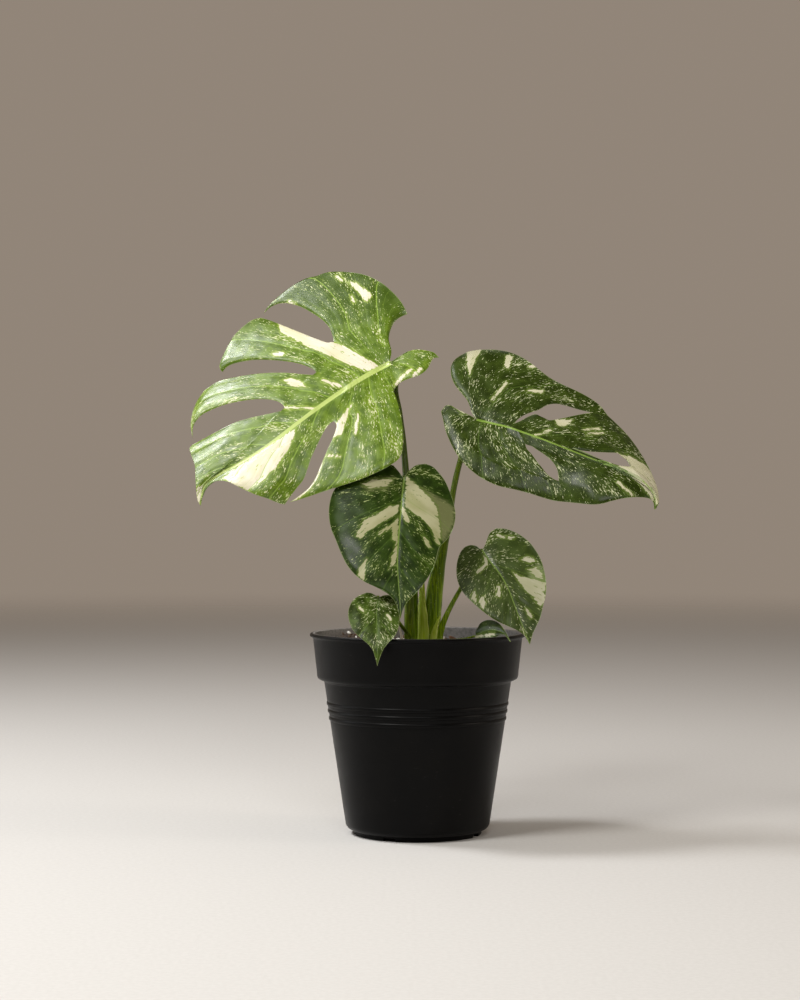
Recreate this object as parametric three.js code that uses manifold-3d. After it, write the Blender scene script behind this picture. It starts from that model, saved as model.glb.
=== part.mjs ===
// A young variegated split-leaf monstera in a nursery pot. Millimetres, +Z up, the origin on the
// pot's axis at the floor. The plant is drawn in a front view: a point is [x, z] as an eye in front
// of the pot sees it on the plane through the pot's axis, and its depth y places it along that sight.

import * as THREE from 'three';
import { mergeVertices } from 'three/addons/utils/BufferGeometryUtils.js';
import Module from 'manifold-3d';

const wasm = await Module();
wasm.setup();

const GAP = 0.3;

const EYE = { x: -13.9, y: -1697, z: 262.6 };

const POT = {
  height: 158,
  wall: 2,
  segments: 48,
  rimRadius: 85,
  collarTop: 82.6,
  collarBottom: 79.3,
  collarFoot: 125,
  shoulder: 73.9,
  shoulderHeight: 121,
  shoulderStep: 3.6,
  rimDrop: 3.4,
  heelRadius: 56.8,
  heelHeight: 8,
  footRadius: 50.5,
  footInner: 46.5,
  footHeight: 3.6,
  footStep: 3.6,
  floorHeight: 4,
  ribs: [91.2, 97, 102.8],
  ribHalfHeight: 1.7,
  ribDepth: 0.6,
  notches: 4,
  notchTurn: -26.5,
  notchWidth: 9.5,
  notchHeight: 2.4,
  drainRadius: 4.5,
  drainPlace: 40,
};

const SOIL = {
  level: 147.5,
  rings: 7,
  mound: [-46, 36],
  moundRise: 7,
  moundSpread: 30,
  lumpRise: 0.6,
  lumpLength: 31,
};

const CROWN = { x: 6, y: -2, radius: 15.5, top: 149.5, depth: 34, sides: 18 };

const BLADE_THICKNESS = 0.7;
const KEEL_TAPER = 0.7;
const WAVE_PER_COLUMN = 1.3;
const FIRST_ROW = 0.3;

// The six blades. midrib runs from the joint to the tip. Each half is drawn from the sinus to the
// tip as lobes: margin is a lobe's outer edge, and the cut after it starts at a station of the
// midrib, follows its stem to the start of the slit, hole or notch, and then the edge on the base
// side and the edge on the tip side. A hole has a join line from its end to the margin.
const BLADES = [
  {
    name: 'leaf_a',
    color: 0x7f9a4b,
    stations: 20,
    rows: 8,
    depth: {
      joint: 29.5, acrossX: -0.2, upZ: 0.68,
      arch: 10, lift: 7, sag: 12, span: 75, crown: 2.6, wave: 1.2,
    },
    keel: 2.2,
    midrib: [
      [-22.5, 370.5], [-41, 360.5], [-60, 348.5], [-80, 334.5], [-100, 319.5], [-120, 304.5],
      [-140, 292], [-158, 282], [-168.5, 274], [-171.5, 258],
    ],
    halves: [
      {
        sinus: [[-22.5, 370.5], [-20.5, 380], [-22.5, 390], [-20, 400], [-15, 406], [-8, 409.5]],
        lobes: [
          {
            columns: 12,
            margin: [
              [-8, 409.5], [-13, 419], [-21, 428], [-30, 435], [-42, 440.5], [-56, 442.6], [-71, 442.3],
              [-82, 438.5], [-91, 436], [-101, 430], [-110, 423], [-117, 416.5], [-120, 413],
              [-121.5, 409.5],
            ],
            cut: {
              station: 1,
              stem: [[-45, 374.5], [-66, 387.5]],
              baseSide: [
                [-67.5, 393], [-70, 399], [-77, 406], [-90, 414], [-100, 417.5], [-108, 418],
                [-115, 415.5], [-119, 412.5], [-121.5, 409.5],
              ],
              tipSide: [[-71, 387], [-80, 390], [-95, 396], [-110, 402], [-118, 405], [-124, 406.5]],
            },
          },
          {
            columns: 6,
            margin: [
              [-124, 406.5], [-131, 404.5], [-139, 398.5], [-146, 391], [-152, 380], [-156.3, 370],
              [-156, 366], [-154, 363.5],
            ],
            cut: {
              station: 4,
              stem: [[-66, 360], [-80, 363.5]],
              baseSide: [
                [-82.5, 366], [-91, 369.5], [-102, 371.8], [-116, 373], [-130, 373], [-142, 371],
                [-150, 368], [-154, 363.5],
              ],
              tipSide: [
                [-82.5, 361.5], [-91, 362], [-107, 363.2], [-126, 362.4], [-145, 359.5], [-158, 356],
                [-168, 349.5],
              ],
            },
          },
          {
            columns: 6,
            margin: [
              [-168, 349.5], [-173.5, 342], [-177.5, 333], [-179.3, 324], [-179, 318], [-177.5, 311],
            ],
            cut: {
              station: 7,
              stem: [[-93, 335.5], [-105, 335.5]],
              baseSide: [
                [-106.5, 338], [-112, 341], [-122, 342.3], [-135, 341.5], [-150, 338.5], [-160, 335],
                [-170, 330], [-175.5, 324], [-177.6, 318], [-177.5, 311],
              ],
              tipSide: [
                [-107, 333.3], [-116, 331], [-130, 328], [-145, 323.5], [-160, 316], [-170, 310.5],
                [-177.5, 306.5],
              ],
            },
          },
          {
            columns: 13,
            margin: [
              [-177.5, 306.5], [-180, 303.5], [-179, 299], [-176, 290], [-175.5, 280], [-174.8, 270],
              [-173.8, 263], [-171.5, 258],
            ],
          },
        ],
      },
      {
        sinus: [[-22.5, 370.5], [-15, 375.5], [-7, 380], [0, 381.5], [8, 380.5], [13, 379], [17, 375]],
        lobes: [
          {
            columns: 6,
            margin: [[17, 375], [12, 374], [8, 366.5], [2, 361.5], [-8, 358], [-14, 355], [-18, 350.5]],
            cut: { station: 0, stem: [[-20.5, 361], [-18, 350.5]] },
          },
          {
            columns: 13,
            margin: [
              [-18, 350.5], [-19.3, 345], [-17, 339.5], [-14, 333], [-12, 324], [-11, 314],
              [-11.5, 303], [-14, 296], [-20, 291], [-30, 285.5], [-45, 279], [-60, 274], [-75, 269],
              [-90, 264], [-100.5, 261],
            ],
            cut: {
              station: 4,
              stem: [[-62.5, 338], [-66.5, 325]],
              baseSide: [
                [-64, 322], [-66, 314], [-70, 305], [-73.5, 297], [-77, 288.5], [-80.5, 280],
                [-86, 272], [-92, 267], [-100.5, 261],
              ],
              tipSide: [
                [-70, 322.5], [-75, 315], [-80, 304.5], [-84, 296], [-87, 287], [-90, 279],
                [-95, 272.5], [-100, 266], [-105, 259],
              ],
            },
          },
          {
            columns: 16,
            margin: [
              [-105, 259], [-110, 260.3], [-118, 263.5], [-127, 266.5], [-135, 270], [-143, 274],
              [-150, 277.3], [-157, 278], [-163, 276.3], [-168, 271.5], [-170, 265], [-171.5, 258],
            ],
          },
        ],
      },
    ],
  },
  {
    name: 'leaf_b',
    color: 0x4d6136,
    stations: 20,
    rows: 8,
    depth: {
      joint: -10, acrossX: -0.04, upZ: 0.6,
      arch: 10, lift: 5, sag: 12, span: 60, crown: 1.4, wave: 1,
    },
    keel: 2,
    midrib: [
      [47, 326], [60, 323], [71, 320.3], [82, 316.5], [95, 312], [108, 307], [120, 302.2], [140, 294.3],
      [160, 287.3], [172, 282], [181, 274.5], [187, 265], [187, 255],
    ],
    halves: [
      {
        sinus: [[47, 326], [43, 331], [39.5, 340.5], [34, 347.5], [29, 354], [26.3, 361], [26, 367]],
        lobes: [
          {
            columns: 15,
            margin: [
              [26, 367], [29, 373], [35, 377.3], [42, 380.2], [51, 381.3], [62, 381.2], [72, 379.5],
              [81, 376], [89, 371], [96, 365.5], [104, 359.5], [113, 354.5], [123, 350], [133, 345],
              [141, 339.8], [146, 335], [150, 329.5],
            ],
            cut: {
              station: 3,
              stem: [[73.5, 321.7], [76, 323]],
              baseSide: [
                [80, 327], [85, 330], [91, 332.3], [96, 334], [101, 337], [106, 338.4], [112, 338.3],
                [120, 336.2], [128, 333.8], [137, 331.8],
              ],
              tipSide: [
                [81, 325], [87, 328.3], [93, 330.4], [96.5, 328.8], [99.5, 326.2], [105, 325.7],
                [113, 327], [122, 329], [130, 330.6], [137, 331.8],
              ],
              join: [[143, 331.2], [150, 329.5]],
            },
          },
          {
            columns: 7,
            margin: [
              [150, 329.5], [156, 324], [164, 316], [172, 306], [179, 295], [185, 283.5], [189, 273],
              [190.5, 265],
            ],
            cut: {
              station: 8,
              stem: [[116, 304.6], [121, 303.6]],
              baseSide: [
                [128, 302], [138, 300.7], [150, 300.1], [157.5, 299.6], [162, 296.2], [166, 293.5],
                [168.5, 289],
              ],
              tipSide: [[130, 300.1], [140, 296.3], [150, 292.9], [160, 289.8], [168.5, 289]],
              join: [[178, 282], [186, 273], [190.5, 265]],
            },
          },
          { columns: 12, margin: [[190.5, 265], [190.8, 261], [189, 257.5], [187, 255]] },
        ],
      },
      {
        sinus: [[47, 326], [42, 329], [36, 332], [30, 335], [26, 337.3], [22, 337], [18.5, 332.5]],
        lobes: [
          {
            columns: 13,
            margin: [
              [18.5, 332.5], [20, 326], [21.5, 319], [24, 312], [27.5, 304.5], [32, 297], [38, 290],
              [46, 283], [54, 278], [64, 273.7], [76, 271], [88, 268], [98, 264.7], [108, 262],
              [117, 261],
            ],
            cut: {
              station: 4,
              stem: [[82, 311.5], [85, 307]],
              baseSide: [
                [86.3, 303], [90, 299], [94, 293.5], [98, 288.5], [102, 283.5], [107, 279.5],
                [111.3, 277.8],
              ],
              tipSide: [
                [89, 306], [94, 302.7], [99, 299.5], [104, 295.5], [108, 291], [110.7, 285],
                [111.3, 277.8],
              ],
              join: [[114.5, 270], [117, 261]],
            },
          },
          {
            columns: 16,
            margin: [
              [117, 261], [128, 259.9], [138, 259], [146, 259.8], [154, 262], [163, 264], [173, 264.8],
              [182, 264], [186, 261], [187, 255],
            ],
          },
        ],
      },
    ],
  },
  {
    name: 'leaf_c',
    color: 0x44572d,
    stations: 14,
    rows: 7,
    depth: {
      joint: -14, acrossX: 0, upZ: 0.64,
      arch: 9, lift: 8, sag: 12, span: 45, crown: 0, wave: 1,
    },
    keel: 1.8,
    midrib: [
      [-10.7, 280], [-12.2, 266], [-13.3, 252], [-14.6, 238], [-15.6, 224], [-15.8, 210], [-15, 196],
      [-14, 183], [-13.5, 169],
    ],
    halves: [
      {
        sinus: [[-10.7, 280], [-12.5, 282], [-15.5, 286], [-19, 290]],
        lobes: [
          {
            columns: 18,
            margin: [
              [-19, 290], [-28, 291], [-40, 289], [-51, 284], [-60, 277.5], [-66.5, 269.5],
              [-69.5, 260], [-70, 251], [-68.5, 241], [-64.5, 231], [-60.5, 221], [-56, 212],
              [-50, 204.5], [-42, 198.3], [-33, 194], [-26, 190.5], [-20.5, 186], [-17, 181],
              [-15.3, 175.5], [-13.5, 169],
            ],
          },
        ],
      },
      {
        sinus: [[-10.7, 280], [-9, 282.5], [-6, 286.5], [-1, 290.2], [6, 291.3]],
        lobes: [
          {
            columns: 18,
            margin: [
              [6, 291.3], [12, 289], [17, 284], [21.5, 278], [25, 270.5], [28, 262], [29.8, 253],
              [29.3, 245], [26.5, 237], [22, 230.5], [17.3, 225.7], [15.3, 219], [13, 210.5], [8, 201],
              [2, 193], [-4, 186.5], [-9, 181], [-11.7, 175.5], [-13.5, 169],
            ],
          },
        ],
      },
    ],
  },
  {
    name: 'leaf_d',
    color: 0x5d7840,
    stations: 10,
    rows: 5,
    depth: {
      joint: -60, acrossX: 0, upZ: 0.58,
      arch: 8, lift: 3.5, sag: 5, span: 22, crown: 0, wave: 0.2,
    },
    keel: 1,
    midrib: [[-31.5, 186], [-32.2, 176], [-32.3, 165], [-32, 154], [-31.6, 143], [-31.8, 131.5]],
    halves: [
      {
        sinus: [[-31.5, 186], [-33.5, 187.5], [-36.5, 189.2], [-40, 189.6]],
        lobes: [
          {
            columns: 12,
            margin: [
              [-40, 189.6], [-46, 187.3], [-51, 183.5], [-54, 178], [-54.8, 172], [-53.7, 166],
              [-51, 160], [-45.5, 154.5], [-39.5, 149.3], [-35.5, 144.3], [-33.6, 138.5],
              [-31.8, 131.5],
            ],
          },
        ],
      },
      {
        sinus: [[-31.5, 186], [-29.5, 186.2], [-26.5, 187.6], [-23, 187.7]],
        lobes: [
          {
            columns: 12,
            margin: [
              [-23, 187.7], [-19, 185.3], [-16.3, 181], [-14.8, 175], [-14.4, 168], [-15.2, 161.5],
              [-18, 155.5], [-22.5, 150.6], [-26.6, 145.5], [-29.5, 139], [-31.8, 131.5],
            ],
          },
        ],
      },
    ],
  },
  {
    name: 'leaf_e',
    color: 0x4b6035,
    stations: 12,
    rows: 6,
    depth: {
      joint: -14, acrossX: 0.1, upZ: 0.52,
      arch: 7, lift: 5, sag: 8, span: 36, crown: 0, wave: 0.7,
    },
    keel: 1.3,
    midrib: [
      [51, 223], [57.5, 213.8], [63, 207], [68, 199.5], [72, 191.5], [75.3, 183], [79, 173],
      [83.5, 161.5], [88.7, 148.5],
    ],
    halves: [
      {
        sinus: [[51, 223], [53.2, 227], [55, 232], [57.3, 237], [62, 240.2]],
        lobes: [
          {
            columns: 15,
            margin: [
              [62, 240.2], [69, 240], [76, 237.6], [82.5, 234], [88.5, 229], [93.5, 222.5], [97.5, 215],
              [100, 206.5], [101.4, 197], [101, 187.5], [99, 179], [97, 170.5], [93.7, 163],
              [90.8, 156.5], [88.7, 148.5],
            ],
          },
        ],
      },
      {
        sinus: [[51, 223], [49.3, 224], [46.5, 226.3], [42.5, 227.2]],
        lobes: [
          {
            columns: 15,
            margin: [
              [42.5, 227.2], [38, 226], [34.5, 222.5], [32, 217], [30.7, 210], [30.8, 203],
              [32.3, 196.5], [36, 189.5], [41.5, 183.5], [48, 177.7], [55, 172], [62, 167.3],
              [70, 163.6], [78, 160], [84, 156], [88.7, 148.5],
            ],
          },
        ],
      },
    ],
  },
  {
    name: 'leaf_f',
    color: 0x50682f,
    stations: 8,
    rows: 4,
    depth: {
      joint: -24, acrossX: -1.2, upZ: 0.6,
      arch: 1.5, lift: 1.5, sag: 2, span: 9, crown: 0, wave: 0.1,
    },
    keel: 0.5,
    midrib: [[46, 156], [52, 159], [58, 160.2], [64, 159.2], [69, 156.5], [73.5, 150.5]],
    halves: [
      {
        sinus: [[46, 156], [45.5, 158.5], [47, 161.5]],
        lobes: [
          {
            columns: 9,
            margin: [
              [47, 161.5], [49, 165], [52.5, 167.3], [57, 168], [62, 166.8], [66, 163.5], [68.5, 159.8],
              [71, 155.5], [73.5, 150.5],
            ],
          },
        ],
      },
      {
        sinus: [[46, 156], [45, 155], [46, 153.5]],
        lobes: [
          {
            columns: 9,
            margin: [
              [46, 153.5], [50, 152], [56, 152], [61, 154], [65, 156.2], [68.5, 156], [71.2, 153.3],
              [73.5, 150.5],
            ],
          },
        ],
      },
    ],
  },
];

// Leaf stalks from the crown: [x, z, y, radius]. A knee, square to its blade's underside, ends a gap
// short of the blade's joint; the smallest leaf has none, and its stalk runs on into the blade.
const STALKS = [
  {
    name: 'petiole_a',
    color: 0x55701f,
    route: [
      [-3, 150, 5, 5], [-3.5, 165, 6, 4.9], [-4, 190, 8, 4.2], [-5.5, 225, 11, 3.4],
      [-8.3, 270, 17, 2.8], [-11, 305, 26, 2.5], [-14.3, 331, 36, 2.4], [-17.8, 350, 43, 2.6],
    ],
    knee: { blade: 'leaf_a', length: 9, radius: 2.6 },
  },
  {
    name: 'petiole_b',
    color: 0x5c7a22,
    route: [
      [13, 150, 1, 4.8], [13.5, 165, 1.5, 4.7], [15.5, 190, 3, 4.5], [18.5, 215, 5, 3.9],
      [23.5, 240, 8, 2.8], [28.7, 272.5, 11, 2.4], [34.5, 296, 12, 2.3], [41.5, 312.5, 7, 2.4],
    ],
    knee: { blade: 'leaf_b', length: 6, radius: 2.3 },
  },
  {
    name: 'petiole_c',
    color: 0x5a7426,
    route: [
      [-5, 150, -7.5, 3.4], [-5, 170, -8.5, 3.3], [-6, 200, -10.5, 2.6], [-8, 235, -11, 2.2],
      [-9.5, 262, -8.5, 2.1], [-10.2, 271, -7, 2.1],
    ],
    knee: { blade: 'leaf_c', length: 3, radius: 1.9 },
  },
  {
    name: 'petiole_d',
    color: 0x5d7a2c,
    route: [
      [-2, 150, -13, 1.6], [-7, 156, -17.5, 1.5], [-12.5, 163, -26.5, 1.4],
      [-19.5, 172, -39.5, 1.3], [-27, 180.3, -51, 1.3],
    ],
    knee: { blade: 'leaf_d', length: 2.5, radius: 1.2 },
  },
  {
    name: 'petiole_e',
    color: 0x5a7424,
    route: [
      [16, 150, -7.8, 2.7], [18.5, 160, -8.5, 2.6], [22.5, 171, -9, 2.1], [28, 182, -7.5, 1.8],
      [34.5, 193.5, -6, 1.7], [42.5, 208, -5, 1.7], [47.5, 215.5, -6, 1.6],
    ],
    knee: { blade: 'leaf_e', length: 2.5, radius: 1.5 },
  },
  {
    name: 'petiole_f',
    color: 0x5d7a2c,
    route: [
      [8.8, 150, -12.5, 1.2], [12, 153, -15.8, 1.2], [24, 154.3, -20, 1.1], [35, 154.8, -23, 1],
      [44.5, 155.6, -23.6, 0.8],
    ],
  },
];

// The young rolled leaf in the middle of the clump, pointed at its top.
const SPEAR = {
  name: 'spear',
  color: 0x8aa437,
  route: [
    [4.8, 150, -1.6, 2.9], [4.6, 165, -1.9, 2.8], [4.2, 180, -2, 2.4], [4.5, 192, -2, 1.3],
    [5, 199, -2, 0.35],
  ],
};

// Sheaths: thin curved wings round a stalk, [x, z, y, radius, half angle] with the way they face, in
// degrees from the right towards the back. The dry one stands on the potting mix.
const SHEATHS = [
  {
    name: 'sheath_b',
    color: 0x9db55a,
    facing: 238,
    thickness: 0.9,
    route: [
      [5, 150, -2, 5, 85], [4.9, 163, -2.1, 4.9, 80], [4.7, 176, -2.3, 4.4, 66],
      [4.4, 188, -2.4, 3.5, 40], [3.6, 196, -2.6, 2.9, 12],
    ],
  },
  {
    name: 'dry_sheath',
    color: 0x9a8f7c,
    facing: 196,
    thickness: 0.7,
    foot: SOIL.level + GAP,
    route: [
      [-7, 148, -9, 5.2, 42], [-8.5, 156, -9.6, 5.2, 38], [-10.2, 163, -10.4, 4.8, 28],
      [-11, 169, -11.4, 3.8, 14], [-11, 174, -12.4, 3, 6],
    ],
  },
  {
    name: 'sheath_e',
    color: 0x86a142,
    facing: 198,
    thickness: 0.8,
    route: [
      [15.7, 150, -8.2, 5, 74], [17, 156, -9, 4.9, 72], [19.2, 164, -9.4, 4.4, 56],
      [21.6, 170.5, -9.6, 3.7, 24], [23, 173.5, -9.6, 3.4, 8],
    ],
  },
];

// Places a point of the front view at its depth.
function seen(x, z, y) {
  const scale = (y - EYE.y) / -EYE.y;
  return new THREE.Vector3(EYE.x + (x - EYE.x) * scale, y, EYE.z + (z - EYE.z) * scale);
}

function flatLine(points) {
  return new THREE.SplineCurve(points.map(([x, z]) => new THREE.Vector2(x, z)));
}

function lengthOf(points) {
  return flatLine(points).getLength();
}

// The first row stands close to the midrib, so that the keel below it stays narrow.
function rowPlace(row) {
  return row === 1 ? FIRST_ROW : row;
}

// Shares the rows of a side line out over its stem, edge and join, by their lengths.
function rowBreaks(cut, root, rows) {
  if (!cut.baseSide) {
    return [rows, rows];
  }
  const start = cut.stem.at(-1);
  const stem = lengthOf([root, ...cut.stem]);
  const edge = (lengthOf([start, ...cut.baseSide]) + lengthOf([start, ...cut.tipSide])) / 2;
  const join = cut.join ? lengthOf([cut.tipSide.at(-1), ...cut.join]) : 0;
  const perRow = (stem + edge + join) / rows;
  const stemRows = Math.max(1, Math.round(stem / perRow));
  const joinRows = cut.join ? Math.max(1, Math.round(join / perRow)) : 0;
  return [stemRows, rows - joinRows];
}

// The points of one side line, a row at a time, from the midrib to the margin.
function sideLine(cut, edgePoints, root, rows) {
  const [first, second] = rowBreaks(cut, root, rows);
  const stem = flatLine([root, ...cut.stem]);
  const edge = edgePoints ? flatLine([cut.stem.at(-1), ...edgePoints]) : null;
  const join = cut.join ? flatLine([edgePoints.at(-1), ...cut.join]) : null;
  const points = [];
  for (let row = 0; row <= rows; row++) {
    if (row <= first) {
      const place = first > 1 ? rowPlace(row) : row;
      points.push(stem.getPointAt(place / first));
    } else if (row <= second) {
      points.push(edge.getPointAt((row - first) / (second - first)));
    } else {
      points.push(join.getPointAt((row - second) / (rows - second)));
    }
  }
  return points;
}

// The depth of a blade's point: a tilted plane with an arched midrib, halves that lift and then
// sag towards the margin, lobes crowned across their width, and a light wave along the margin.
function bladeDepth(form, joint, point, root, along, across, out) {
  const reach = point.distanceTo(root) / form.span;
  let y = form.joint + form.acrossX * (point.x - joint.x) + form.upZ * (point.y - joint.y);
  y -= form.arch * 4 * along * (1 - along);
  y += form.sag * reach * reach - form.lift * reach;
  y += form.crown * (2 * across - 1) ** 2 * out * out;
  return y;
}

// Lays out the upper face of a blade: points, and triangles that face the eye.
function bladeFace(blade) {
  const midrib = flatLine(blade.midrib);
  const joint = midrib.getPointAt(0);
  const tip = midrib.getPointAt(1);
  const points = [];
  const keels = [];
  const places = new Map();
  const triangles = [];
  const addPoint = (flat, y, keel) => {
    const key = `${flat.x.toFixed(3)},${flat.y.toFixed(3)}`;
    if (!places.has(key)) {
      places.set(key, points.length);
      points.push(seen(flat.x, flat.y, y));
      keels.push(keel);
    }
    return places.get(key);
  };
  for (const half of blade.halves) {
    const flipped = onRight(midrib, half);
    let near = flatLine(half.sinus).getSpacedPoints(blade.rows);
    let station = 0;
    let travelled = 0;
    for (const lobe of half.lobes) {
      const next = lobe.cut ? lobe.cut.station : blade.stations;
      const root = midrib.getPointAt(next / blade.stations);
      const rootPoint = [root.x, root.y];
      const far = lobe.cut ? sideLine(lobe.cut, lobe.cut.baseSide, rootPoint, blade.rows) : null;
      const margin = flatLine(lobe.margin);
      const grid = [];
      for (let column = 0; column <= lobe.columns; column++) {
        const across = column / lobe.columns;
        const along = (station + Math.round(across * (next - station))) / blade.stations;
        const base = midrib.getPointAt(along);
        const top = margin.getPointAt(across);
        const line = [];
        for (let row = 0; row <= blade.rows; row++) {
          const out = rowPlace(row) / blade.rows;
          const left = near[row];
          const right = far ? far[row] : tip;
          const flat = coons(near, far, tip, left, right, base, top, across, out, blade.rows);
          const wave = blade.depth.wave * Math.sin((travelled + column) * WAVE_PER_COLUMN) * out ** 3;
          const y = bladeDepth(blade.depth, joint, flat, base, along, across, out) + wave;
          line.push(addPoint(flat, y, row === 0 ? blade.keel * (1 - along) ** KEEL_TAPER : 0));
        }
        grid.push(line);
      }
      addGridTriangles(grid, flipped, triangles);
      travelled += lobe.columns;
      station = next;
      near = lobe.cut ? sideLine(lobe.cut, lobe.cut.tipSide, rootPoint, blade.rows) : null;
    }
  }
  return { points, keels, triangles };
}

// Whether a half lies on the right of its midrib, as the eye sees it looking on towards the tip.
function onRight(midrib, half) {
  const { margin } = half.lobes[Math.floor(half.lobes.length / 2)];
  const out = flatLine(margin).getPointAt(0.5).sub(midrib.getPointAt(0.5));
  return midrib.getTangentAt(0.5).cross(out) < 0;
}

// A point of the patch between two side lines, the midrib and the margin.
function coons(near, far, tip, left, right, base, top, across, out, rows) {
  if (across === 0 || across === 1) {
    return across === 0 ? left.clone() : right.clone();
  }
  const mix = (a, b, t) => a.clone().lerp(b, t);
  const sides = mix(left, right, across);
  const ends = mix(base, top, out);
  const roots = mix(near[0], far ? far[0] : tip, across);
  const outer = mix(near[rows], far ? far[rows] : tip, across);
  return sides.add(ends).sub(mix(roots, outer, out));
}

function addGridTriangles(grid, flipped, triangles) {
  const add = (a, b, c) => {
    if (a !== b && b !== c && c !== a) {
      triangles.push(flipped ? [a, c, b] : [a, b, c]);
    }
  };
  for (let column = 1; column < grid.length; column++) {
    for (let row = 1; row < grid[column].length; row++) {
      const [a, b] = [grid[column - 1][row - 1], grid[column][row - 1]];
      const [d, c] = [grid[column - 1][row], grid[column][row]];
      add(a, b, c);
      add(a, c, d);
    }
  }
}

// Unit normals of a face's points, from the triangles round each.
function pointNormals(points, triangles) {
  const normals = points.map(() => new THREE.Vector3());
  for (const [a, b, c] of triangles) {
    const ab = points[b].clone().sub(points[a]);
    const ac = points[c].clone().sub(points[a]);
    const normal = ab.cross(ac);
    [a, b, c].forEach((index) => normals[index].add(normal));
  }
  return normals.map((normal) => normal.normalize());
}

// Gives a face its thickness: the same triangles below it, and a rim round every free edge.
function thicken({ points, keels, triangles }, thickness) {
  const normals = pointNormals(points, triangles);
  const sunk = (point, i) => point.clone().addScaledVector(normals[i], -thickness - keels[i]);
  const lower = points.map(sunk);
  const count = points.length;
  const edges = new Map();
  for (const [a, b, c] of triangles) {
    [[a, b], [b, c], [c, a]].forEach(([p, q]) => edges.set(`${p},${q}`, [p, q]));
  }
  const faces = [...triangles];
  triangles.forEach(([a, b, c]) => faces.push([a + count, c + count, b + count]));
  for (const [p, q] of edges.values()) {
    if (!edges.has(`${q},${p}`)) {
      faces.push([q, p, p + count], [q, p + count, q + count]);
    }
  }
  return solidGeometry([...points, ...lower], faces);
}

function solidGeometry(points, faces) {
  const geometry = new THREE.BufferGeometry();
  const positions = new Float32Array(points.flatMap((point) => [point.x, point.y, point.z]));
  geometry.setAttribute('position', new THREE.BufferAttribute(positions, 3));
  geometry.setIndex(faces.flat());
  geometry.computeVertexNormals();
  return geometry;
}

// The triangles that close a convex ring, fanned from its first point.
function fanCap(sides) {
  return Array.from({ length: sides - 2 }, (_, i) => [0, i + 1, i + 2]);
}

// The triangles that close a crescent, whose outer points come first and inner ones come back.
function crescentCap(steps) {
  const last = 2 * steps + 1;
  const quads = Array.from({ length: steps }, (_, i) => [i, i + 1, last - i - 1, last - i]);
  return quads.flatMap(([a, b, c, d]) => [[a, b, c], [a, c, d]]);
}

// Closes a row of rings, each the same number of points, into a solid with a cap at both ends.
function loft(rings, cap) {
  const sides = rings[0].length;
  const points = rings.flat();
  const faces = [];
  for (let ring = 1; ring < rings.length; ring++) {
    for (let i = 0; i < sides; i++) {
      const j = (i + 1) % sides;
      const [a, b] = [(ring - 1) * sides + i, (ring - 1) * sides + j];
      const [d, c] = [ring * sides + i, ring * sides + j];
      faces.push([a, b, c], [a, c, d]);
    }
  }
  const last = (rings.length - 1) * sides;
  for (const [a, b, c] of cap) {
    faces.push([a, c, b], [last + a, last + b, last + c]);
  }
  return solidGeometry(points, faces);
}

// A route's stops, with the first one set level, a gap above what it stands on.
function stopsOf({ route, foot = CROWN.top }) {
  const stops = route.map(([x, z, y, radius, halfAngle = 0]) => {
    return { place: seen(x, z, y), radius, halfAngle };
  });
  stops[0].place.z = foot + GAP;
  return stops;
}

// The two stops of the knee below a blade, square to the blade's underside at its joint.
function kneeStops({ length, radius }, blade, face) {
  const normal = pointNormals(face.points, face.triangles)[0];
  const below = BLADE_THICKNESS + blade.keel + GAP;
  return [below + length, below].map((away) => {
    const place = face.points[0].clone().addScaledVector(normal, -away);
    return { place, radius, halfAngle: 0 };
  });
}

// The frames at even steps along a row of stops, two to a stretch: the centre, the directions to the
// right and to the back across it, and the radius and half angle there. The first frame is level.
function stopFrames(stops) {
  const curve = new THREE.CatmullRomCurve3(stops.map(({ place }) => place));
  const steps = (stops.length - 1) * 2;
  const frames = [];
  for (let i = 0; i <= steps; i++) {
    const before = stops[Math.floor(i / 2)];
    const after = stops[Math.ceil(i / 2)];
    const direction = i === 0 ? new THREE.Vector3(0, 0, 1) : curve.getTangent(i / steps);
    const right = new THREE.Vector3(1, 0, 0).addScaledVector(direction, -direction.x).normalize();
    frames.push({
      centre: curve.getPoint(i / steps),
      right,
      back: new THREE.Vector3().crossVectors(direction, right),
      radius: (before.radius + after.radius) / 2,
      halfAngle: (before.halfAngle + after.halfAngle) / 2,
    });
  }
  return frames;
}

// A point at a turn, in radians from the right towards the back, and a distance round a frame.
function roundFrame({ centre, right, back }, turn, distance) {
  const out = right.clone().multiplyScalar(Math.cos(turn)).addScaledVector(back, Math.sin(turn));
  return out.multiplyScalar(distance).add(centre);
}

function stalk(stops, sides) {
  const ring = (frame) => {
    const turns = Array.from({ length: sides }, (_, i) => (2 * Math.PI * i) / sides);
    return turns.map((turn) => roundFrame(frame, turn, frame.radius));
  };
  return loft(stopFrames(stops).map(ring), fanCap(sides));
}

function sheath(wing, steps) {
  const ring = (frame) => {
    const outer = [];
    const inner = [];
    for (let i = 0; i <= steps; i++) {
      const turn = THREE.MathUtils.degToRad(wing.facing + frame.halfAngle * ((2 * i) / steps - 1));
      outer.push(roundFrame(frame, turn, frame.radius));
      inner.unshift(roundFrame(frame, turn, frame.radius - wing.thickness));
    }
    return [...outer, ...inner];
  };
  return loft(stopFrames(stopsOf(wing)).map(ring), crescentCap(steps));
}

// Turns a profile of [radius, height] points round the Z axis.
function turned(profile, segments) {
  const geometry = new THREE.LatheGeometry(profile.map(([r, z]) => new THREE.Vector2(r, z)), segments);
  return geometry.rotateX(Math.PI / 2);
}

function toSolid(geometry) {
  const bare = geometry.clone();
  bare.deleteAttribute('normal');
  bare.deleteAttribute('uv');
  const merged = mergeVertices(bare, 1e-4);
  return new wasm.Manifold(new wasm.Mesh({
    numProp: 3,
    vertProperties: new Float32Array(merged.attributes.position.array),
    triVerts: new Uint32Array(merged.index.array),
  }));
}

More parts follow.
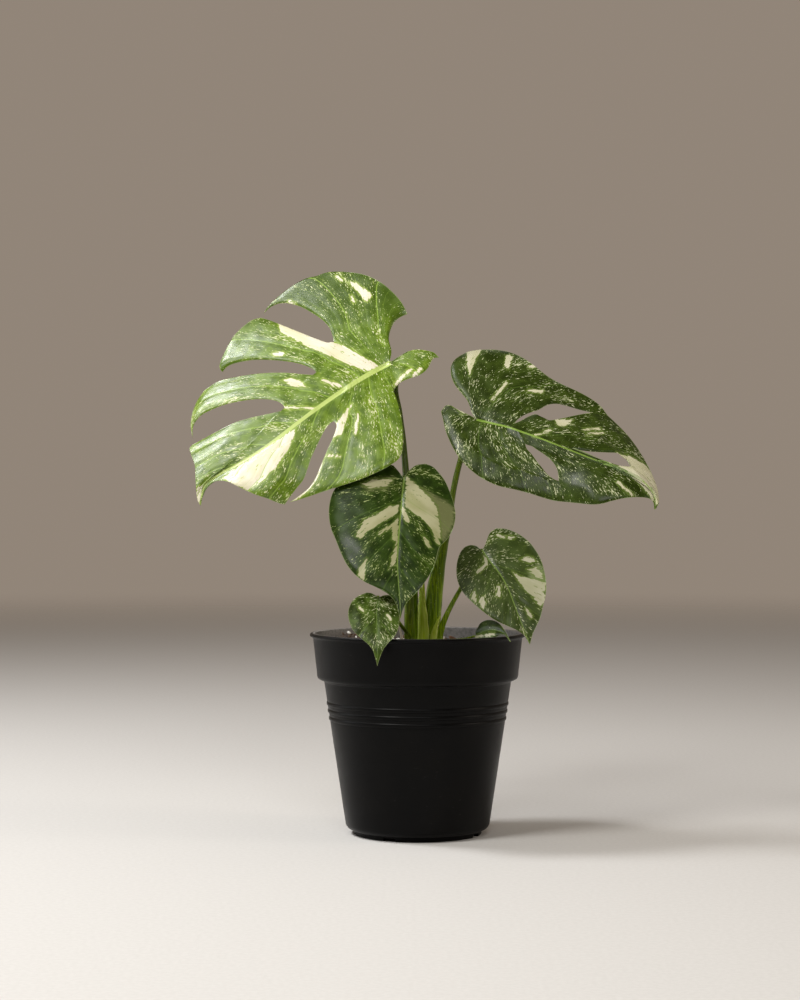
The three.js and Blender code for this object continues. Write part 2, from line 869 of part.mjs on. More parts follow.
function fromSolid(solid) {
  const mesh = solid.getMesh();
  const geometry = new THREE.BufferGeometry();
  geometry.setAttribute('position', new THREE.BufferAttribute(new Float32Array(mesh.vertProperties), 3));
  geometry.setIndex([...mesh.triVerts]);
  geometry.computeVertexNormals();
  return geometry;
}

// The radius of the pot's tapered body at a height.
function bodyRadius(z) {
  const taper = (POT.shoulder - POT.heelRadius) / (POT.shoulderHeight - POT.heelHeight);
  return POT.heelRadius + taper * (z - POT.heelHeight);
}

function potOutside() {
  const points = [
    [0, POT.floorHeight],
    [POT.footInner, POT.floorHeight],
    [POT.footInner, 0],
    [POT.footRadius, 0],
    [POT.footRadius, POT.footHeight],
    [POT.footRadius + POT.footStep, POT.footHeight + 0.8],
    [POT.heelRadius - 0.7, POT.heelHeight - 1.8],
    [POT.heelRadius, POT.heelHeight],
  ];
  for (const rib of POT.ribs) {
    points.push([bodyRadius(rib - POT.ribHalfHeight), rib - POT.ribHalfHeight]);
    points.push([bodyRadius(rib) + POT.ribDepth, rib - POT.ribHalfHeight / 2]);
    points.push([bodyRadius(rib) + POT.ribDepth, rib + POT.ribHalfHeight / 2]);
    points.push([bodyRadius(rib + POT.ribHalfHeight), rib + POT.ribHalfHeight]);
  }
  points.push([POT.shoulder, POT.shoulderHeight]);
  points.push([POT.shoulder + POT.shoulderStep, POT.shoulderHeight + 1]);
  points.push([POT.collarBottom, POT.collarFoot]);
  points.push([POT.collarTop, POT.height - POT.rimDrop]);
  points.push([POT.rimRadius - 0.3, POT.height - POT.rimDrop + 0.8]);
  points.push([POT.rimRadius, POT.height - 1]);
  points.push([POT.rimRadius - 0.8, POT.height]);
  return points;
}

// The pot's inside, down from the rim to the floor, moved in by a clearance.
function potInside(clearance) {
  const inset = POT.wall + clearance;
  return [
    [POT.collarTop - inset, POT.height - 0.6],
    [POT.collarBottom - inset, POT.collarFoot],
    [POT.shoulder - inset, POT.shoulderHeight - POT.wall],
    [POT.heelRadius - inset, POT.heelHeight + clearance],
    [POT.footRadius - 1, POT.floorHeight + POT.wall + clearance],
    [0, POT.floorHeight + POT.wall + clearance],
  ];
}

function notchCutter(turn) {
  const length = 3 * (POT.footRadius - POT.footInner);
  const box = new THREE.BoxGeometry(length, POT.notchWidth, POT.notchHeight * 2);
  box.translate((POT.footRadius + POT.footInner) / 2, 0, 0);
  return toSolid(box.rotateZ(turn));
}

function drainCutter(turn) {
  const length = 6 * POT.wall;
  const cylinder = new THREE.CylinderGeometry(POT.drainRadius, POT.drainRadius, length, 12);
  cylinder.rotateX(Math.PI / 2).translate(POT.drainPlace, 0, POT.floorHeight);
  return toSolid(cylinder.rotateZ(turn));
}

function pot() {
  let solid = toSolid(turned([...potOutside(), ...potInside(0)], POT.segments));
  for (let i = 0; i < POT.notches; i++) {
    const turn = THREE.MathUtils.degToRad(POT.notchTurn - 90 + (360 / POT.notches) * i);
    solid = solid.subtract(notchCutter(turn)).subtract(drainCutter(turn));
  }
  return fromSolid(solid);
}

// How far the potting mix stands above its level at a place: a mound, and lumps of two lengths.
function soilRelief(x, y) {
  const [moundX, moundY] = SOIL.mound;
  const away = Math.hypot(x - moundX, y - moundY) / SOIL.moundSpread;
  const perLump = (2 * Math.PI) / SOIL.lumpLength;
  const coarse = Math.sin(x * perLump + 1) * Math.cos(y * perLump);
  const fine = Math.sin((x + y) * perLump * 2) * 0.6;
  return SOIL.moundRise * Math.exp(-away * away) + SOIL.lumpRise * (coarse + fine);
}

function soil() {
  const inside = potInside(GAP);
  const [top, foot] = inside;
  const rimRadius = foot[0] + ((top[0] - foot[0]) * (SOIL.level - foot[1])) / (top[1] - foot[1]);
  const surface = [];
  for (let ring = 0; ring < SOIL.rings; ring++) {
    surface.push([(rimRadius * (SOIL.rings - ring)) / SOIL.rings, SOIL.level]);
  }
  surface.push([0, SOIL.level]);
  const geometry = turned([...inside.slice(1).reverse(), ...surface], POT.segments);
  const position = geometry.attributes.position;
  for (let i = 0; i < position.count; i++) {
    if (Math.abs(position.getZ(i) - SOIL.level) < 0.01) {
      position.setZ(i, SOIL.level + soilRelief(position.getX(i), position.getY(i)));
    }
  }
  const radius = CROWN.radius + GAP;
  const hole = new THREE.CylinderGeometry(radius, radius, 2 * CROWN.depth, CROWN.sides);
  hole.rotateX(Math.PI / 2).translate(CROWN.x, CROWN.y, CROWN.top);
  return fromSolid(toSolid(geometry).subtract(toSolid(hole)));
}

function crown() {
  const height = CROWN.depth - GAP;
  const stump = new THREE.CylinderGeometry(CROWN.radius, CROWN.radius, height, CROWN.sides);
  return stump.rotateX(Math.PI / 2).translate(CROWN.x, CROWN.y, CROWN.top - height / 2);
}

function node(name, geometry, color, roughness = 0.6) {
  const material = new THREE.MeshStandardMaterial({ color, roughness, metalness: 0, flatShading: true });
  const mesh = new THREE.Mesh(geometry, material);
  mesh.name = name;
  return mesh;
}

const plant = new THREE.Group();
plant.add(node('pot', pot(), 0x1b1b1c, 0.55));
plant.add(node('soil', soil(), 0x2c2420, 0.95));
plant.add(node('crown', crown(), 0x6f7f2e));
const faces = new Map();
for (const blade of BLADES) {
  const face = bladeFace(blade);
  faces.set(blade.name, { blade, face });
  plant.add(node(blade.name, thicken(face, BLADE_THICKNESS), blade.color, 0.4));
}
for (const petiole of STALKS) {
  const { blade, face } = faces.get(petiole.knee?.blade) ?? {};
  const knee = petiole.knee ? kneeStops(petiole.knee, blade, face) : [];
  plant.add(node(petiole.name, stalk([...stopsOf(petiole), ...knee], 10), petiole.color, 0.5));
}
plant.add(node(SPEAR.name, stalk(stopsOf(SPEAR), 8), SPEAR.color, 0.5));
for (const wing of SHEATHS) {
  plant.add(node(wing.name, sheath(wing, 6), wing.color, 0.5));
}

export default plant;
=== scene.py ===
# A young variegated split-leaf monstera in a black nursery pot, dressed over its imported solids. The
# plant is drawn in millimetres in a front view: a point (x, z) is what an eye in front of the pot
# sees on the plane through the pot's axis, and its depth y places it along that sight.
import math
from collections import namedtuple

import bmesh
import bpy
import numpy as np
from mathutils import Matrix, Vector, kdtree


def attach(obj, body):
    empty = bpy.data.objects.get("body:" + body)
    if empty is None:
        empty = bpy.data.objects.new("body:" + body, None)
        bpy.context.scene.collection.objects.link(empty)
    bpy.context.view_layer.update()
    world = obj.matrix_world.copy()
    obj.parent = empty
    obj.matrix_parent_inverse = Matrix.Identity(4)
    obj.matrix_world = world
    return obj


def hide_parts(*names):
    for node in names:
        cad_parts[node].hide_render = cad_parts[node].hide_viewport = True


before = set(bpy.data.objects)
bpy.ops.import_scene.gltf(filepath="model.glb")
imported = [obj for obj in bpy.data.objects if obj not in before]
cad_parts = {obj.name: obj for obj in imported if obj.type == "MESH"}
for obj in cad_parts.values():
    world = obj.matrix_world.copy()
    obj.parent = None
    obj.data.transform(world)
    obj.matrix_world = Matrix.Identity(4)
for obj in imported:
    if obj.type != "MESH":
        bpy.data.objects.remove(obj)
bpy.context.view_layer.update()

MM = 0.001
EYE = (-13.9, -1697.0, 262.6)
LENS = 77.4
SENSOR_WIDTH = 36
SHARP_ANGLE = 50
STRETCH_POINTS = 24
WAVES = 7

# How many fine rows, columns and stations stand for one of a blade's.
DETAIL = 7
WAVE_PER_COLUMN = 1.3
COLUMNS_PER_VEIN = 5
SMOOTHING_ROUNDS = 60
SMOOTHING_SHARE = 0.6
FAR_OUTSIDE = 60.0

# The forms of a blade's two faces: heights and half widths in millimetres, and how they fade.
BLADE_THICKNESS = 0.7
KEEL_TAPER = 0.7
KEEL_WIDTH = 2.2
MIDRIB_DIP = 0.2
MIDRIB_WIDTH = 1.3
SHOULDER_RISE = 0.1
SHOULDER_PLACE = 3.2
SHOULDER_WIDTH = 1.6
VALLEY_DEPTH = 0.3
VALLEY_WIDTH = 2.8
CREASE_DEPTH = 0.05
CREASE_WIDTH = 0.9
PUCKER_HEIGHT = 0.08
RIM_DROP = 0.18
RIM_WIDTH = 1.6
CALM_MARGIN = 5
FADE_TO_TIP = 0.6

STALK_SIDES = 36
WING_SIDES = 28
SPEAR_SIDES = 32
STALK_STEP = 1.5
SPEAR_STEP = 1.2
SHEATH_STEP = 1.0
SHEATH_COLUMNS = 24
KNEE_SUNK = 0.2
GROOVE_DEPTH = 0.1
GROOVE_TURN = 4.9
GROOVE_WIDTH = 0.3

POT = {
    "heel_radius": 56.8,
    "heel_height": 8,
    "shoulder": 73.9,
    "shoulder_height": 121,
    "ribs": [91.2, 97, 102.8],
    "floor": 5,
    "foot_inside": 46,
    "foot_radius": 48.5,
    "notch_width": 9.5,
    "notch_height": 2.4,
    "notch_turns": [-116.5, -26.5, 63.5, 153.5],
    "drain_radius": 4.5,
    "drain_place": 40,
    "drill_length": 20,
}
# Parts of the pot's section, each point a radius and a height.
FOOT_SECTION = [
    (46.5, 3.6), (46.7, 0.4), (47.1, 0), (49.9, 0), (50.4, 0.5), (50.5, 3.2), (50.9, 3.6),
    (53.6, 4.2), (54.9, 5), (55.9, 6.1), (56.5, 7.2),
]
COLLAR_SECTION = [(73.8, 120.4), (74.1, 121), (76.9, 121.5), (78.4, 122.3), (79.1, 123.4), (79.4, 125)]
INNER_STEP = [(76.6, 122), (73.5, 119.6), (71.9, 118)]
# A rib as height and rise, with a fine groove on both sides.
RIB_SECTION = [(-1.6, 0.05), (-1.1, 0.45), (-0.5, 0.6), (0.5, 0.6), (1.1, 0.45), (1.6, 0.05)]
RIB_GROOVE = (1.9, 0.12)
RIB_ROOM = (2.2, 2.3)
BODY_STEP = 2.5
# The middle of the wall, as heights and radii.
WALL_MIDDLE = ([8, 121, 125, 154.6, 158], [55.8, 72.9, 78.3, 81.6, 83])
POT_SIDES = 192
NOTCH_PAIR = (-0.12, 0.12)
DRAIN_SIDES = 32

SOIL_LEVEL = 147.5
SOIL_RADIUS = 78.6
SOIL_RINGS = 90
SOIL_SIDES = 256
SOIL_SECTION = [(79, 145), (77, 125), (71.6, 119), (54.5, 8.3), (49.2, 6.4), (0, 6.4)]
MOUND = {"x": -46, "y": 36, "width": 30, "height": 7}
LUMP_PITCH = 31
SCATTER_RADIUS = 76
SCATTER_EDGE = 78.5

CROWN_TOP = 149.5
STALK_FOOT = CROWN_TOP - 4
SHEATH_FOOT = CROWN_TOP - 2
CROWN = {"x": 6, "y": -2, "clear": 17}
CROWN_SECTION = [
    (0, 116), (14, 116.5), (15.3, 125), (15.3, 140), (15.2, 146), (14, 148.6), (9, 149.8), (0, 150.2),
]
CROWN_SIDES = 64

# A half of a blade is the edge of its sinus from the foot of the midrib, then lobes with a cut between
# each two. A lobe has its margin's points between its side lines. A cut leaves the midrib at a station
# and follows its stem, opens into a side towards the base and one towards the tip, and where it closes
# again, both share the join to the margin.
Half = namedtuple("Half", "sinus parts veins", defaults=[()])
Lobe = namedtuple("Lobe", "columns sweep margin")
Cut = namedtuple("Cut", "station stem base tip join", defaults=[(), (), ()])

LEAF_A_UPPER = Half(
    [(-20.5, 380), (-22.5, 390), (-20, 400), (-15, 406), (-8, 409.5)],
    [
        Lobe(12, 0, [
            (-13, 419), (-21, 428), (-30, 435), (-42, 440.5), (-56, 442.6), (-71, 442.3), (-82, 438.5),
            (-91, 436), (-101, 430), (-110, 423), (-117, 416.5), (-120, 413),
        ]),
        Cut(1, [(-45, 374.5), (-66, 387.5)], [
            (-67.5, 393), (-70, 399), (-77, 406), (-90, 414), (-100, 417.5), (-108, 418), (-115, 415.5),
            (-119, 412.5), (-121.5, 409.5),
        ], [(-71, 387), (-80, 390), (-95, 396), (-110, 402), (-118, 405), (-124, 406.5)]),
        Lobe(6, 0, [
            (-131, 404.5), (-139, 398.5), (-146, 391), (-152, 380), (-156.3, 370), (-156, 366),
        ]),
        Cut(4, [(-66, 360), (-80, 363.5)], [
            (-82.5, 366), (-91, 369.5), (-102, 371.8), (-116, 373), (-130, 373), (-142, 371),
            (-150, 368), (-154, 363.5),
        ], [
            (-82.5, 361.5), (-91, 362), (-107, 363.2), (-126, 362.4), (-145, 359.5), (-158, 356),
            (-168, 349.5),
        ]),
        Lobe(6, 0, [(-173.5, 342), (-177.5, 333), (-179.3, 324), (-179, 318)]),
        Cut(7, [(-93, 335.5), (-105, 335.5)], [
            (-106.5, 338), (-112, 341), (-122, 342.3), (-135, 341.5), (-150, 338.5), (-160, 335),
            (-170, 330), (-175.5, 324), (-177.6, 318), (-177.5, 311),
        ], [
            (-107, 333.3), (-116, 331), (-130, 328), (-145, 323.5), (-160, 316), (-170, 310.5),
            (-177.5, 306.5),
        ]),
        Lobe(13, 0, [
            (-180, 303.5), (-179, 299), (-176, 290), (-175.5, 280), (-174.8, 270), (-173.8, 263),
        ]),
    ],
    [3, 8.4, 15.2, 21.1, 26, 29, 32, 35],
)
LEAF_A_LOWER = Half(
    [(-15, 375.5), (-7, 380), (0, 381.5), (8, 380.5), (13, 379), (17, 375)],
    [
        Lobe(6, 0, [(12, 374), (8, 366.5), (2, 361.5), (-8, 358), (-14, 355)]),
        Cut(0, [(-20.5, 361), (-18, 350.5)]),
        Lobe(13, 0, [
            (-19.3, 345), (-17, 339.5), (-14, 333), (-12, 324), (-11, 314), (-11.5, 303), (-14, 296),
            (-20, 291), (-30, 285.5), (-45, 279), (-60, 274), (-75, 269), (-90, 264),
        ]),
        Cut(4, [(-62.5, 338), (-66.5, 325)], [
            (-64, 322), (-66, 314), (-70, 305), (-73.5, 297), (-77, 288.5), (-80.5, 280), (-86, 272),
            (-92, 267), (-100.5, 261),
        ], [
            (-70, 322.5), (-75, 315), (-80, 304.5), (-84, 296), (-87, 287), (-90, 279), (-95, 272.5),
            (-100, 266), (-105, 259),
        ]),
        Lobe(16, 0, [
            (-110, 260.3), (-118, 263.5), (-127, 266.5), (-135, 270), (-143, 274), (-150, 277.3),
            (-157, 278), (-163, 276.3), (-168, 271.5), (-170, 265),
        ]),
    ],
    [3, 8.2, 12.3, 16.4, 21.5, 25, 28.5, 32],
)
LEAF_B_UPPER = Half(
    [(43, 331), (39.5, 340.5), (34, 347.5), (29, 354), (26.3, 361), (26, 367)],
    [
        Lobe(15, 4, [
            (29, 373), (35, 377.3), (42, 380.2), (51, 381.3), (62, 381.2), (72, 379.5), (81, 376),
            (89, 371), (96, 365.5), (104, 359.5), (113, 354.5), (123, 350), (133, 345), (141, 339.8),
            (146, 335),
        ]),
        Cut(3, [(73.5, 321.7), (76, 323)], [
            (80, 327), (85, 330), (91, 332.3), (96, 334), (101, 337), (106, 338.4), (112, 338.3),
            (120, 336.2), (128, 333.8), (137, 331.8),
        ], [
            (81, 325), (87, 328.3), (93, 330.4), (96.5, 328.8), (99.5, 326.2), (105, 325.7), (113, 327),
            (122, 329), (130, 330.6), (137, 331.8),
        ], [(143, 331.2), (150, 329.5)]),
        Lobe(7, 1, [(156, 324), (164, 316), (172, 306), (179, 295), (185, 283.5), (189, 273)]),
        Cut(8, [(116, 304.6), (121, 303.6)], [
            (128, 302), (138, 300.7), (150, 300.1), (157.5, 299.6), (162, 296.2), (166, 293.5),
            (168.5, 289),
        ], [(130, 300.1), (140, 296.3), (150, 292.9), (160, 289.8), (168.5, 289)], [
            (178, 282), (186, 273), (190.5, 265),
        ]),
        Lobe(12, 1, [(190.8, 261), (189, 257.5)]),
    ],
)
LEAF_B_LOWER = Half(
    [(42, 329), (36, 332), (30, 335), (26, 337.3), (22, 337), (18.5, 332.5)],
    [
        Lobe(13, 1.5, [
            (20, 326), (21.5, 319), (24, 312), (27.5, 304.5), (32, 297), (38, 290), (46, 283),
            (54, 278), (64, 273.7), (76, 271), (88, 268), (98, 264.7), (108, 262),
        ]),
        Cut(4, [(82, 311.5), (85, 307)], [
            (86.3, 303), (90, 299), (94, 293.5), (98, 288.5), (102, 283.5), (107, 279.5),
            (111.3, 277.8),
        ], [
            (89, 306), (94, 302.7), (99, 299.5), (104, 295.5), (108, 291), (110.7, 285), (111.3, 277.8),
        ], [(114.5, 270), (117, 261)]),
        Lobe(16, 3, [
            (128, 259.9), (138, 259), (146, 259.8), (154, 262), (163, 264), (173, 264.8), (182, 264),
            (186, 261),
        ]),
    ],
)
LEAF_C_LEFT = Half(
    [(-12.5, 282), (-15.5, 286), (-19, 290)],
    [
        Lobe(18, 1.9, [
            (-28, 291), (-40, 289), (-51, 284), (-60, 277.5), (-66.5, 269.5), (-69.5, 260), (-70, 251),
            (-68.5, 241), (-64.5, 231), (-60.5, 221), (-56, 212), (-50, 204.5), (-42, 198.3),
            (-33, 194), (-26, 190.5), (-20.5, 186), (-17, 181), (-15.3, 175.5),
        ]),
    ],
)
LEAF_C_RIGHT = Half(
    [(-9, 282.5), (-6, 286.5), (-1, 290.2), (6, 291.3)],
    [
        Lobe(18, 1.5, [
            (12, 289), (17, 284), (21.5, 278), (25, 270.5), (28, 262), (29.8, 253), (29.3, 245),
            (26.5, 237), (22, 230.5), (17.3, 225.7), (15.3, 219), (13, 210.5), (8, 201), (2, 193),
            (-4, 186.5), (-9, 181), (-11.7, 175.5),
        ]),
    ],
)
LEAF_D_LEFT = Half(
    [(-33.5, 187.5), (-36.5, 189.2), (-40, 189.6)],
    [
        Lobe(12, 1.8, [
            (-46, 187.3), (-51, 183.5), (-54, 178), (-54.8, 172), (-53.7, 166), (-51, 160),
            (-45.5, 154.5), (-39.5, 149.3), (-35.5, 144.3), (-33.6, 138.5),
        ]),
    ],
)
LEAF_D_RIGHT = Half(
    [(-29.5, 186.2), (-26.5, 187.6), (-23, 187.7)],
    [
        Lobe(12, 1.8, [
            (-19, 185.3), (-16.3, 181), (-14.8, 175), (-14.4, 168), (-15.2, 161.5), (-18, 155.5),
            (-22.5, 150.6), (-26.6, 145.5), (-29.5, 139),
        ]),
    ],
)
LEAF_E_UPPER = Half(
    [(53.2, 227), (55, 232), (57.3, 237), (62, 240.2)],
    [
        Lobe(15, 2, [
            (69, 240), (76, 237.6), (82.5, 234), (88.5, 229), (93.5, 222.5), (97.5, 215), (100, 206.5),
            (101.4, 197), (101, 187.5), (99, 179), (97, 170.5), (93.7, 163), (90.8, 156.5),
        ]),
    ],
)
LEAF_E_LOWER = Half(
    [(49.3, 224), (46.5, 226.3), (42.5, 227.2)],
    [
        Lobe(15, 2, [
            (38, 226), (34.5, 222.5), (32, 217), (30.7, 210), (30.8, 203), (32.3, 196.5), (36, 189.5),
            (41.5, 183.5), (48, 177.7), (55, 172), (62, 167.3), (70, 163.6), (78, 160), (84, 156),
        ]),
    ],
)
LEAF_F_UPPER = Half(
    [(45.5, 158.5), (47, 161.5)],
    [
        Lobe(9, 1.5, [
            (49, 165), (52.5, 167.3), (57, 168), (62, 166.8), (66, 163.5), (68.5, 159.8), (71, 155.5),
        ]),
    ],
)
LEAF_F_LOWER = Half(
    [(45, 155), (46, 153.5)],
    [
        Lobe(9, 1.5, [(50, 152), (56, 152), (61, 154), (65, 156.2), (68.5, 156), (71.2, 153.3)]),
    ],
)

BLADES = [
    {
        "name": "leaf_a",
        "stations": 20,
        "rows": 8,
        "keel": 2.2,
        "depth": {
            "joint": 29.5, "across_x": -0.2, "up_z": 0.68, "arch": 10, "lift": 7, "sag": 12, "span": 75,
            "crown": 2.6, "wave": 1.2,
        },
        "midrib": [
            (-22.5, 370.5), (-41, 360.5), (-60, 348.5), (-80, 334.5), (-100, 319.5), (-120, 304.5),
            (-140, 292), (-158, 282), (-168.5, 274), (-171.5, 258),
        ],
        "halves": [LEAF_A_UPPER, LEAF_A_LOWER],
    },
    {
        "name": "leaf_b",
        "stations": 20,
        "rows": 8,
        "keel": 2,
        "depth": {
            "joint": -10, "across_x": -0.04, "up_z": 0.6, "arch": 10, "lift": 5, "sag": 12, "span": 60,
            "crown": 1.4, "wave": 1,
        },
        "midrib": [
            (47, 326), (60, 323), (71, 320.3), (82, 316.5), (95, 312), (108, 307), (120, 302.2),
            (140, 294.3), (160, 287.3), (172, 282), (181, 274.5), (187, 265), (187, 255),
        ],
        "halves": [LEAF_B_UPPER, LEAF_B_LOWER],
    },
    {
        "name": "leaf_c",
        "stations": 14,
        "rows": 7,
        "keel": 1.8,
        "depth": {
            "joint": -14, "across_x": 0, "up_z": 0.64, "arch": 9, "lift": 8, "sag": 12, "span": 45,
            "crown": 0, "wave": 1,
        },
        "midrib": [
            (-10.7, 280), (-12.2, 266), (-13.3, 252), (-14.6, 238), (-15.6, 224), (-15.8, 210),
            (-15, 196), (-14, 183), (-13.5, 169),
        ],
        "halves": [LEAF_C_LEFT, LEAF_C_RIGHT],
    },
    {
        "name": "leaf_d",
        "stations": 10,
        "rows": 5,
        "keel": 1,
        "depth": {
            "joint": -60, "across_x": 0, "up_z": 0.58, "arch": 8, "lift": 3.5, "sag": 5, "span": 22,
            "crown": 0, "wave": 0.2,
        },
        "midrib": [(-31.5, 186), (-32.2, 176), (-32.3, 165), (-32, 154), (-31.6, 143), (-31.8, 131.5)],
        "halves": [LEAF_D_LEFT, LEAF_D_RIGHT],
    },
    {
        "name": "leaf_e",
        "stations": 12,
        "rows": 6,
        "keel": 1.3,
        "depth": {
            "joint": -14, "across_x": 0.1, "up_z": 0.52, "arch": 7, "lift": 5, "sag": 8, "span": 36,
            "crown": 0, "wave": 0.7,
        },
        "midrib": [
            (51, 223), (57.5, 213.8), (63, 207), (68, 199.5), (72, 191.5), (75.3, 183), (79, 173),
            (83.5, 161.5), (88.7, 148.5),
        ],
        "halves": [LEAF_E_UPPER, LEAF_E_LOWER],
    },
    {
        "name": "leaf_f",
        "stations": 8,
        "rows": 4,
        "keel": 0.5,
        "depth": {
            "joint": -24, "across_x": -1.2, "up_z": 0.6, "arch": 1.5, "lift": 1.5, "sag": 2, "span": 9,
            "crown": 0, "wave": 0.1,
        },
        "midrib": [(46, 156), (52, 159), (58, 160.2), (64, 159.2), (69, 156.5), (73.5, 150.5)],
        "halves": [LEAF_F_UPPER, LEAF_F_LOWER],
    },
]

# Cream marks in the front view: outlines of patches, and streaks as a width and the line they follow.
PATCHES = {
    "leaf_a": [
        [(-55, 435), (-48, 434), (-36, 424), (-40, 419), (-47, 427)],
        [
            (-31, 368), (-42, 375), (-58, 384), (-68, 388), (-80, 391), (-95, 397), (-110, 402),
            (-108, 395), (-100, 391), (-85, 383), (-75, 379), (-60, 372), (-40, 364),
        ],
        [(-106, 357), (-100, 359), (-92, 356), (-88, 352), (-98, 352)],
        [
            (-96, 320), (-110, 310), (-125, 300), (-140, 290), (-153, 280), (-150, 277.5), (-143, 274),
            (-134, 270), (-120, 280), (-110, 291), (-104, 300), (-98, 312),
        ],
        [(-52, 339), (-64, 323), (-69, 311), (-60, 315), (-57, 325)],
        [(-74, 300), (-80, 289), (-90, 273), (-102, 261), (-95, 262), (-84, 272), (-76, 288)],
        [(-168, 276), (-171, 268), (-172, 258), (-176, 262), (-174, 272)],
    ],
    "leaf_b": [
        [(39, 381), (51, 382), (46, 374), (41, 361), (39, 370)],
        [(70, 377), (75, 376), (72, 366), (68.5, 368)],
        [(108, 327), (123, 326), (117, 321), (110, 321.5)],
        [
            (157, 300), (168, 297), (179, 291), (186, 284), (191, 273), (193, 262), (188, 259),
            (182, 267), (176, 274.5), (169, 281), (163, 286), (157, 291),
        ],
        [(28, 342), (34, 338), (40, 331), (35, 331), (28, 337)],
    ],
    "leaf_c": [
        [(-43, 275), (-36, 279), (-19, 279), (-25, 273), (-38, 272)],
        [
            (-15, 259), (-22, 258), (-30, 253), (-42, 247), (-49, 234), (-45, 232.5), (-40, 238),
            (-30, 244), (-16, 252),
        ],
        [
            (-15, 250), (-20, 243), (-20, 232), (-17.5, 230), (-18, 224), (-21, 218), (-21, 212),
            (-23, 207.5), (-18, 212), (-16, 222),
        ],
        [
            (-9, 281), (0, 274), (8, 266), (15, 257), (17, 247), (18, 236), (17, 226), (14, 231),
            (11, 239), (5, 247), (-2, 252), (-10, 257),
        ],
        [(4, 235), (8, 231), (11, 224), (7, 226)],
        [(-40, 217), (-46, 209), (-47, 203), (-42, 199), (-42, 207)],
    ],
    "leaf_e": [
        [
            (75, 206), (82, 202), (90, 200), (97, 199), (101, 197), (100, 182), (97, 179.5), (92, 184),
            (86, 191), (80, 198),
        ],
        [(87, 208), (93, 209.5), (97, 206), (100, 201), (94, 202)],
        [(81, 216), (86, 218), (91, 217), (93, 214), (88, 213)],
        [(45, 192), (47, 187), (46, 182), (42, 185)],
        [(51, 187), (54, 182), (52, 177), (48, 183)],
    ],
}
STREAKS = {
    "leaf_a": [
        (2, (-75, 357), (-60, 352)), (1.6, (-80, 335), (-105, 335.5)), (1.8, (-71, 298), (-62, 297)),
        (2, (-47, 330), (-49, 315)), (2.4, (-17, 354), (-10, 362), (-5, 366)),
        (2.6, (-3, 361), (2, 366)), (2, (-64, 439), (-60, 436)), (2, (-52, 423), (-50, 419)),
        (2, (-101, 420), (-97, 417)), (3, (-113, 378), (-107, 378)),
        (1.6, (-66, 386), (-56, 378), (-46, 372)),
    ],
    "leaf_b": [
        (2.2, (59, 342), (70, 355)), (2, (88, 349), (98, 348)), (1.6, (88, 368), (96, 369)),
        (1.6, (92, 313), (105, 318)), (1.2, (131, 318), (144, 319)), (1.2, (134, 315), (146, 315.5)),
        (1.8, (158, 277), (170, 266)),
    ],
    "leaf_c": [(2.5, (-30, 236), (-17, 245)), (3, (-12, 256), (-8, 246))],
    "leaf_d": [(1.4, (-46, 178), (-42, 174)), (1.4, (-24, 172), (-21, 168))],
    "leaf_e": [
        (2.2, (53, 218), (54, 212), (48, 206)), (2.6, (64, 194), (64, 187)),
        (1.8, (63, 235), (68, 233)), (1.8, (72, 233), (76, 233)), (1.8, (86, 176), (90, 170)),
    ],
    "leaf_f": [(1.8, (46, 155), (53, 155.5), (60, 157))],
}
# Patches of a duller pale green.
WASHES = {
    "leaf_c": [
        [
            (2, 273), (12, 266), (22, 262), (29, 256), (29, 244), (21, 230), (15, 236), (8, 246),
            (4, 258),
        ],
        [(-44, 274), (-34, 280), (-18, 280), (-24, 272), (-38, 270)],
    ],
    "leaf_e": [
        [(88, 190), (97, 180), (101, 186), (101, 205), (95, 212), (88, 206)],
    ],
}

